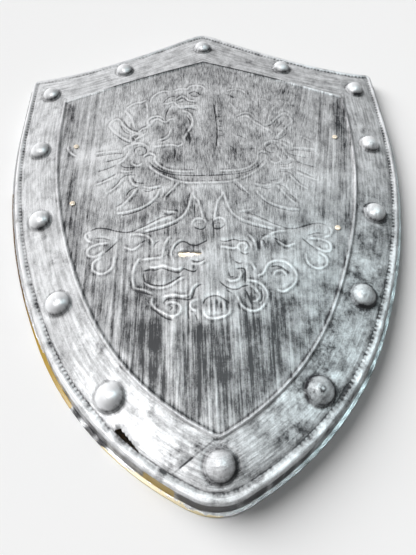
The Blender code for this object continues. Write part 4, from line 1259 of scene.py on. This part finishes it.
def brushedPaint():
    # black paint with silver dry-brushed over it: the silver catches on what stands proud and
    # runs in long strokes, down the field and along the border; yellow plastic shows where it wore off
    # the colour also carries painted light and shade: highlights, a cool reflection and shaded sides
    p = paint
    material, add = newMaterial("silverBrushedOverBlackPaint")
    place = add("TexCoord").outputs["Object"]
    across, down, up = add("SeparateXYZ", (place,)).outputs
    masks = add("SeparateXYZ", (add("Attribute", attribute_name="paintAndLightMask").outputs["Vector"],))
    crest, hollow, band = masks.outputs
    path = add("Attribute", attribute_name="rimPath").outputs["Vector"]
    tone, part, bareHere = (
        add("Attribute", attribute_name=name).outputs["Fac"]
        for name in ("brushToneAndLight", "partOfShell", "barePlastic")
    )

    # down the field short strokes, and long ones lower down and at the sides, both leaning towards the
    # point at the right; strokes of its own along the border, and patches and a speckle everywhere
    lean = add("MapRange", (across, *p["leanAcross"], 0.0, -0.19))
    leaned = add("Math", (lean, down, across), operation="MULTIPLY_ADD")
    brushed = add("CombineXYZ", (leaned, down, up))
    fine = add("Mapping", Vector=brushed, Scale=p["shortStrokes"])
    shortStroke = add("TexNoise", Vector=fine, Scale=1.0, Detail=4.0, Roughness=0.75)
    broad = add("Mapping", Vector=brushed, Scale=p["longStrokes"])
    longStroke = add("TexNoise", Vector=broad, Scale=1.0, Detail=5.0, Roughness=0.7)
    fromMiddle = add("Math", (across,), operation="ABSOLUTE")
    asideShare = add("MapRange", (fromMiddle, *p["longStrokesAside"], 0.0, 0.7))
    longShare = add("MapRange", (down, *p["longStrokesDown"], 0.25, 0.8))
    longShare = add("Math", (longShare, asideShare), operation="MAXIMUM")
    downStroke = add("Mix", {0: longShare, 2: shortStroke, 3: longStroke})
    along = add("Mapping", Vector=path, Scale=p["borderStrokes"])
    alongStroke = add("TexNoise", Vector=along, Scale=1.0, Detail=4.0, Roughness=0.65)
    stroke = add("Mix", {0: band, 2: downStroke, 3: alongStroke})
    stroke = add("MapRange", (stroke, 0.36, 0.64, -0.5, 0.5), interpolation_type="SMOOTHSTEP")
    patch = add("Mapping", Vector=place, Scale=p["patches"])
    patch = add("TexNoise", Vector=patch, Scale=1.0, Detail=6.0, Roughness=0.7)
    patch = add("MapRange", (patch, 0.32, 0.68, -0.5, 0.5))
    speckle = add("TexNoise", Vector=place, Scale=p["speckles"], Detail=2.0, Roughness=0.6)
    speckle = add("MapRange", (speckle, 0.3, 0.7, -0.5, 0.5))

    # the lower right was dabbed rather than brushed, most of all its border
    # the same mask also places a painted cool reflection on the silver
    coolReflectionAcross = add("MapRange", (across, *p["coolReflectionAcross"], 0.0, 1.0))
    coolReflectionDown = add("MapRange", (down, *p["coolReflectionDown"], 0.0, 1.0))
    coolReflectionAndDabs = add("Math", (coolReflectionAcross, coolReflectionDown), operation="MULTIPLY")
    blot = add("TexNoise", Vector=place, Scale=p["blots"], Detail=9.0, Roughness=0.72)
    blot = add("MapRange", (blot, 0.36, 0.64, -0.5, 0.5))
    dabShare = add("MapRange", (band, 0.0, 1.0, 0.55, 1.0))
    dabbed = add("Math", (coolReflectionAndDabs, dabShare), operation="MULTIPLY")
    dab = add("Math", (blot, dabbed), operation="MULTIPLY")

    # a highlight is painted on the border's lower left, and smudges lie all along the border
    highlightAcross = add("MapRange", (across, *p["highlightAcross"], 0.0, 1.0))
    highlightDown = add("MapRange", (down, *p["highlightDown"], 0.0, 1.0))
    wornPaleAndHighlight = add("Math", (highlightAcross, highlightDown), operation="MULTIPLY")
    onFace = add("Math", (part, 0.0, 0.1), operation="COMPARE")
    onBorder = add("Math", (onFace, band), operation="MULTIPLY")
    wornPaleAndHighlight = add("Math", (wornPaleAndHighlight, onBorder), operation="MULTIPLY")
    smudge = add("TexNoise", Vector=place, Scale=p["smudges"], Detail=8.0, Roughness=0.75)
    smudge = add("MapRange", (smudge, 0.54, 0.68, 0.0, 1.0))
    smudge = add("Math", (smudge, band), operation="MULTIPLY")

    # how much silver: on the field less towards the point, on the border most at the left;
    # the border's lighter left and darker right are partly painted light and shade from the upper left
    onRight = add("MapRange", (down, *p["rightSilverUp"], p["rightSilverShaded"], p["rightTopSilverShaded"]))
    litFromLeft = add("MapRange", (across, *p["leftToRight"], p["leftSilverLit"], onRight))
    toPoint = add("MapRange", (down, *p["fieldDown"], p["fieldSilver"], p["lowSilver"]))
    amount = add("Mix", {0: band, 2: toPoint, 3: litFromLeft})
    strokeShare = add("MapRange", (band, 0.0, 1.0, p["strokeStrength"], p["borderStroke"]))
    strokeShare = add("MapRange", (dabbed, 0.0, 1.0, strokeShare, p["dabbedStroke"]))
    for layer, share in (
        (stroke, strokeShare), (patch, p["patchStrength"]), (dab, p["dabStrength"]), (wornPaleAndHighlight, p["paintedHighlight"]),
        (smudge, p["smudge"]), (speckle, p["speckleStrength"]), (tone, p["toneStrength"]),
        (crest, p["crestSilverAndHighlight"]), (hollow, p["hollowBlackAndShade"]),
    ):
        amount = add("Math", (layer, share, amount), operation="MULTIPLY_ADD")
    amount = add("Clamp", (amount,))

    # a cool reflection is painted into the silver on the lower right
    top = add("Mix", {0: coolReflectionAndDabs, 6: linear(p["silver"]), 7: linear(p["silverWithCoolReflection"])}, data_type="RGBA")
    silver = add("Mix", {0: amount, 6: linear(p["black"]), 7: top}, data_type="RGBA")

    # bare plastic, with ragged edges; dirty on the lip high up on the left, and paler near the point
    chips = add("TexNoise", Vector=place, Scale=p["chips"], Detail=5.0, Roughness=0.7)
    bare = add("Math", (bareHere, chips), operation="ADD")
    bare = add("MapRange", (bare, 1.02, 1.14, 0.0, 1.0), interpolation_type="SMOOTHSTEP")
    plastic = add("Mix", {0: patch, 6: linear(p["plastic"]), 7: linear(p["thinPlastic"])}, data_type="RGBA")
    atLip = add("Math", (part, 0.75, 0.06), operation="COMPARE")
    for run, most, colour in (("dirtUp", 1.0, "dirtyPlastic"), ("paleDown", 0.8, "palePlastic")):
        share = add("MapRange", (down, *p[run], 0.0, most))
        share = add("Math", (share, atLip), operation="MULTIPLY")
        plastic = add("Mix", {0: share, 6: plastic, 7: linear(p[colour])}, data_type="RGBA")
    colour = add("Mix", {0: bare, 6: silver, 7: plastic}, data_type="RGBA")

    # the lip is rubbed smooth, so it shines more than the brushed face, and bare plastic has no brush marks
    painted = add("Math", (1.0, bare), operation="SUBTRACT")
    metalShare = add("MapRange", (atLip, 0.0, 1.0, p["metal"], p["lipMetal"]))
    metal = add("Math", (amount, painted), operation="MULTIPLY")
    metal = add("Math", (metal, metalShare), operation="MULTIPLY")
    rough = add("MapRange", (amount, 0.0, 1.0, 0.52, 0.40))
    rough = add("Mix", {0: atLip, 2: rough, 3: 0.22})
    marks = add("Math", (stroke, painted), operation="MULTIPLY")
    bump = add("Bump", Strength=0.4, Distance=0.0004, Height=marks)
    shader = add("BsdfPrincipled", {
        "Base Color": colour, "Metallic": metal, "Roughness": rough, "Normal": bump,
    })
    add("OutputMaterial", (shader,))
    return material


shieldShell = buildShell()
shieldShell.data.materials.append(brushedPaint())
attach(shieldShell, "root")
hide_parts("shield_shell")

straps = {
    "step": 2.5,
    "columns": 8,
    "edgeRound": 0.5,
    "ribPitch": 2.0,          # the real ribs are about 1.2 mm apart, too fine to show
    "black": "#1a1a1c",
    "worn": "#34343a",
    "sheen": 0.15,
}

rivets = {
    "sides": 32,
    "recess": 0.9,
    "domeAngles": (0.35, 0.65, 0.95, 1.2, 1.42),
    # the heads are painted pale to stand in for their shine: a painted reflection
    "brass": "#fdf0dc",
    "dull": "#ecd0ac",
    "metal": 0.25,            # kept low, so that the pale colour shows as a painted shine
}


def hang(t, length):
    # how far a strap hangs below its seat, t along it from the first rivet
    f = fastening
    reach = min(t, length - t) - f["strapEnd"]
    share = min(1.0, max(0.0, reach / f["strapSlope"]))
    return -f["strapDrop"] * (1 - math.cos(math.pi * share)) / 2


def makeStrap(name, ends):
    # a strip of webbing laid out flat, pushed down row by row, then turned and tilted onto the face's back
    f = fastening
    (x0, y0), (x1, y1) = ends
    length = math.hypot(x1 - x0, y1 - y0)
    whole = length + 2 * f["strapEnd"]
    rows = round(whole / straps["step"])
    bpy.ops.object.select_all(action="DESELECT")
    bpy.ops.mesh.primitive_grid_add(
        x_subdivisions=rows, y_subdivisions=straps["columns"], size=2 * mm, location=(0.0, 0.0, 0.0)
    )
    strap = bpy.context.object
    strap.name = name
    uv = strap.data.uv_layers.active.data
    for corner in uv:
        corner.uv = (corner.uv[0] * whole, corner.uv[1] * f["strapWidth"])
    bpy.ops.object.mode_set(mode="EDIT")
    bpy.ops.transform.resize(value=(whole / 2, f["strapWidth"] / 2, 1.0), center_override=(0.0, 0.0, 0.0))
    mesh = bmesh.from_edit_mesh(strap.data)
    levels = sorted({round(v.co.x, 6) for v in mesh.verts})
    for level in levels:
        drop = hang(level / mm + length / 2, length)
        if drop == 0.0:
            continue
        for v in mesh.verts:
            v.select_set(abs(v.co.x - level) < 1e-5)
        mesh.select_flush_mode()
        bmesh.update_edit_mesh(strap.data)
        bpy.ops.transform.translate(value=(0.0, 0.0, drop * mm))
    bpy.ops.mesh.select_all(action="SELECT")
    middle = ((x0 + x1) / 2 * mm, (y0 + y1) / 2 * mm)
    seat = (heightAt(x0) + heightAt(x1)) / 2 - sheet["thickness"] - f["clearance"] - f["strapThickness"] / 2
    slope = -2 * sheet["bow"] * (x0 + x1) / 2 / outline["halfWidth"] ** 2
    heading = math.atan2(y1 - y0, x1 - x0)
    pitch = math.atan2(heightAt(x1) - heightAt(x0), length)
    roll = math.atan(-slope * math.sin(heading))
    for angle, axis in ((-roll, "X"), (pitch, "Y"), (-heading, "Z")):
        bpy.ops.transform.rotate(value=angle, orient_axis=axis, center_override=(0.0, 0.0, 0.0))
    bpy.ops.transform.translate(value=(middle[0], middle[1], seat * mm))
    bpy.ops.object.mode_set(mode="OBJECT")
    thick = strap.modifiers.new("thickness", "SOLIDIFY")
    thick.thickness = f["strapThickness"] * mm
    thick.offset = 0.0
    thick.use_even_offset = True
    rounding = strap.modifiers.new("edge", "BEVEL")
    rounding.width = straps["edgeRound"] * mm
    rounding.segments = 2
    rounding.limit_method = "ANGLE"
    rounding.angle_limit = math.radians(60.0)
    for modifier in ("thickness", "edge"):
        bpy.ops.object.modifier_apply(modifier=modifier)
    bpy.ops.object.shade_smooth_by_angle(angle=math.radians(35.0))
    return strap


def webbing():
    # woven polypropylene webbing: matt black with fine ribs along it, paler where they are rubbed
    material, add = newMaterial("wovenPolypropyleneWebbing")
    coordinates = add("TexCoord").outputs
    lengthwise, crosswise, _ = add("SeparateXYZ", (coordinates["UV"],)).outputs
    waves = []
    for distance in (crosswise, lengthwise):
        angle = add("Math", (distance, 2 * math.pi / straps["ribPitch"]), operation="MULTIPLY")
        waves.append(add("Math", (angle,), operation="SINE"))
    woven = add("Math", waves, operation="MULTIPLY")
    raised = add("MapRange", (woven, -1.0, 1.0, 0.0, 1.0))
    fuzz = add("TexNoise", Vector=coordinates["Object"], Scale=260.0, Detail=4.0, Roughness=0.6)
    wornPaleAndHighlight = add("Math", (raised, fuzz), operation="MULTIPLY")
    colour = add("Mix", {0: wornPaleAndHighlight, 6: linear(straps["black"]), 7: linear(straps["worn"])}, data_type="RGBA")
    rough = add("MapRange", (fuzz, 0.3, 0.7, 0.62, 0.8))
    bump = add("Bump", Strength=0.7, Distance=0.0004, Height=raised)
    shader = add("BsdfPrincipled", {
        "Base Color": colour, "Roughness": rough, "Normal": bump, "Sheen Weight": straps["sheen"],
    })
    add("OutputMaterial", (shader,))
    return material


def makeRivet(name, node):
    # a tubular rivet drawn up from the hollow of its rolled tail to the top of its domed head
    f = fastening
    low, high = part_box(node)
    x, y = (low[0] + high[0]) / 2 / mm, (low[1] + high[1]) / 2 / mm
    top = high[2] / mm - f["headHeight"]
    bottom = low[2] / mm + f["tailHeight"]
    recess, tail, head, rise = rivets["recess"], f["tailRadius"], f["headRadius"], f["headHeight"]
    rings = [
        (recess, bottom - 0.3), (recess * 1.15, bottom - 0.8), (tail * 0.55, bottom - 1.0),
        (tail * 0.8, bottom - 0.9), (tail * 0.96, bottom - 0.5), (tail, bottom),
        (f["shankRadius"], bottom), (f["shankRadius"], top), (head * 0.97, top), (head, top + rise * 0.12),
    ]
    rings += [(head * math.cos(a), top + rise * (0.12 + 0.88 * math.sin(a))) for a in rivets["domeAngles"]]
    bpy.ops.object.select_all(action="DESELECT")
    bpy.ops.mesh.primitive_circle_add(
        vertices=rivets["sides"], radius=rings[0][0] * mm, fill_type="NGON", location=(0.0, 0.0, 0.0)
    )
    rivet = bpy.context.object
    rivet.name = name
    bpy.ops.object.mode_set(mode="EDIT")
    bpy.ops.mesh.select_mode(type="FACE")
    bpy.ops.mesh.select_all(action="SELECT")
    bpy.ops.transform.translate(value=(x * mm, y * mm, rings[0][1] * mm))
    for (before, level), (radius, after) in zip(rings, rings[1:]):
        bpy.ops.mesh.extrude_region_move(TRANSFORM_OT_translate={"value": (0.0, 0.0, (after - level) * mm)})
        size = radius / before
        bpy.ops.transform.resize(value=(size, size, 1.0), center_override=(x * mm, y * mm, after * mm))
    bpy.ops.mesh.select_all(action="SELECT")
    bpy.ops.mesh.normals_make_consistent(inside=False)
    bpy.ops.object.mode_set(mode="OBJECT")
    bpy.ops.object.shade_smooth_by_angle(angle=math.radians(50.0))
    return rivet


def brass():
    # brass painted pale to stand in for its shine, browner in a random pattern where dirt stays
    material, add = newMaterial("brassWithPaintedShine")
    dirt = add("TexNoise", Vector=add("TexCoord").outputs["Object"], Scale=700.0, Detail=4.0, Roughness=0.6)
    share = add("MapRange", (dirt, 0.50, 0.75, 0.0, 1.0))
    colour = add("Mix", {0: share, 6: linear(rivets["brass"]), 7: linear(rivets["dull"])}, data_type="RGBA")
    rough = add("MapRange", (dirt, 0.3, 0.7, 0.26, 0.42))
    bump = add("Bump", Strength=0.2, Distance=0.0001, Height=dirt)
    shader = add("BsdfPrincipled", {
        "Base Color": colour, "Metallic": rivets["metal"], "Roughness": rough, "Normal": bump,
    })
    add("OutputMaterial", (shader,))
    return material


strapMaterial, rivetMaterial = webbing(), brass()
for name, node, ends in (
    ("handGrip", "hand_grip", fastening["grip"]), ("armStrap", "arm_strap", fastening["arm"]),
):
    strap = makeStrap(name, ends)
    strap.data.materials.append(strapMaterial)
    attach(strap, "root")
    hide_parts(node)
for name, node in (
    ("rivetGripTop", "rivet_grip_top"), ("rivetGripBottom", "rivet_grip_bottom"),
    ("rivetArmTop", "rivet_arm_top"), ("rivetArmBottom", "rivet_arm_bottom"),
):
    rivet = makeRivet(name, node)
    rivet.data.materials.append(rivetMaterial)
    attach(rivet, "root")
    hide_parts(node)
print("straps and rivets ready")

studio = {
    "world": 0.16,
    "floor": "#f0f0f0",
    "sun": 4.75,
    "sunAngle": 45.0,
    "sunFrom": (-0.62, 0.42, 0.52),
    "glossFrom": (-0.36, -0.18, 1.05),  # soft box that only shows as gloss on the lower left
    "glossSize": 0.45,
    "glossPower": 9.0,
    "fillFrom": (0.80, 0.35, 0.75),     # weak cool one on the right
    "fillSize": 0.8,
    "fillPower": 2.0,
    "fillColour": (0.78, 0.97, 1.0),
    "lipGlossFrom": (0.40, 0.03, 1.03), # and one that the lip on the lower right mirrors
    "lipGlossSize": 0.45,
    "lipGlossPower": 5.0,
    "slotFrom": (-0.021, -0.047, 0.02), # the pale floor behind the slot
    "slotPower": 0.022,
}


def addLamp(name, kind, place, energy):
    # a lamp that shines towards the origin
    light = bpy.data.lights.new(name, kind)
    light.energy = energy
    lamp = bpy.data.objects.new(name, light)
    lamp.location = place
    lamp.rotation_euler = Vector(place).to_track_quat("Z", "Y").to_euler()
    bpy.context.collection.objects.link(lamp)
    return lamp


def lightScene():
    world = bpy.data.worlds.new("softRoom")
    world.use_nodes = True
    world.node_tree.nodes["Background"].inputs[0].default_value = (1.0, 1.0, 1.0, 1.0)
    world.node_tree.nodes["Background"].inputs[1].default_value = studio["world"]
    bpy.context.scene.world = world
    sun = addLamp("sun", "SUN", studio["sunFrom"], studio["sun"])
    sun.data.angle = math.radians(studio["sunAngle"])
    sun.visible_glossy = False
    for name in ("gloss", "fill", "lipGloss"):
        lamp = addLamp(name, "AREA", studio[name + "From"], studio[name + "Power"])
        lamp.data.size = studio[name + "Size"]
        lamp.visible_diffuse = False
        if name != "gloss":
            lamp.data.color = studio["fillColour"]
    under = addLamp("underSlot", "POINT", studio["slotFrom"], studio["slotPower"])
    under.data.shadow_soft_size = 0.004


def layFloor():
    # a wide sheet of matt paper
    bpy.ops.object.select_all(action="DESELECT")
    bpy.ops.mesh.primitive_plane_add(size=8.0, location=(0.0, 0.0, 0.0))
    floor = bpy.context.object
    floor.name = "floor"
    material, add = newMaterial("palePaperFloor")
    shader = add("BsdfPrincipled", {"Base Color": linear(studio["floor"]), "Roughness": 0.9})
    add("OutputMaterial", (shader,))
    floor.data.materials.append(material)


view = {
    "location": (-0.00965, -0.28508, 0.39611),
    "turn": (27.366, -0.157, -1.711),
    "lens": 27.05,
}


def placeCamera():
    lens = bpy.data.cameras.new("camera")
    lens.lens = view["lens"]
    lens.sensor_width = 36.0
    lens.clip_start = 0.01
    camera = bpy.data.objects.new("camera", lens)
    camera.location = view["location"]
    camera.rotation_euler = [math.radians(a) for a in view["turn"]]
    bpy.context.collection.objects.link(camera)
    bpy.context.scene.camera = camera


bpy.context.scene.view_settings.view_transform = "Standard"
layFloor()
lightScene()
placeCamera()
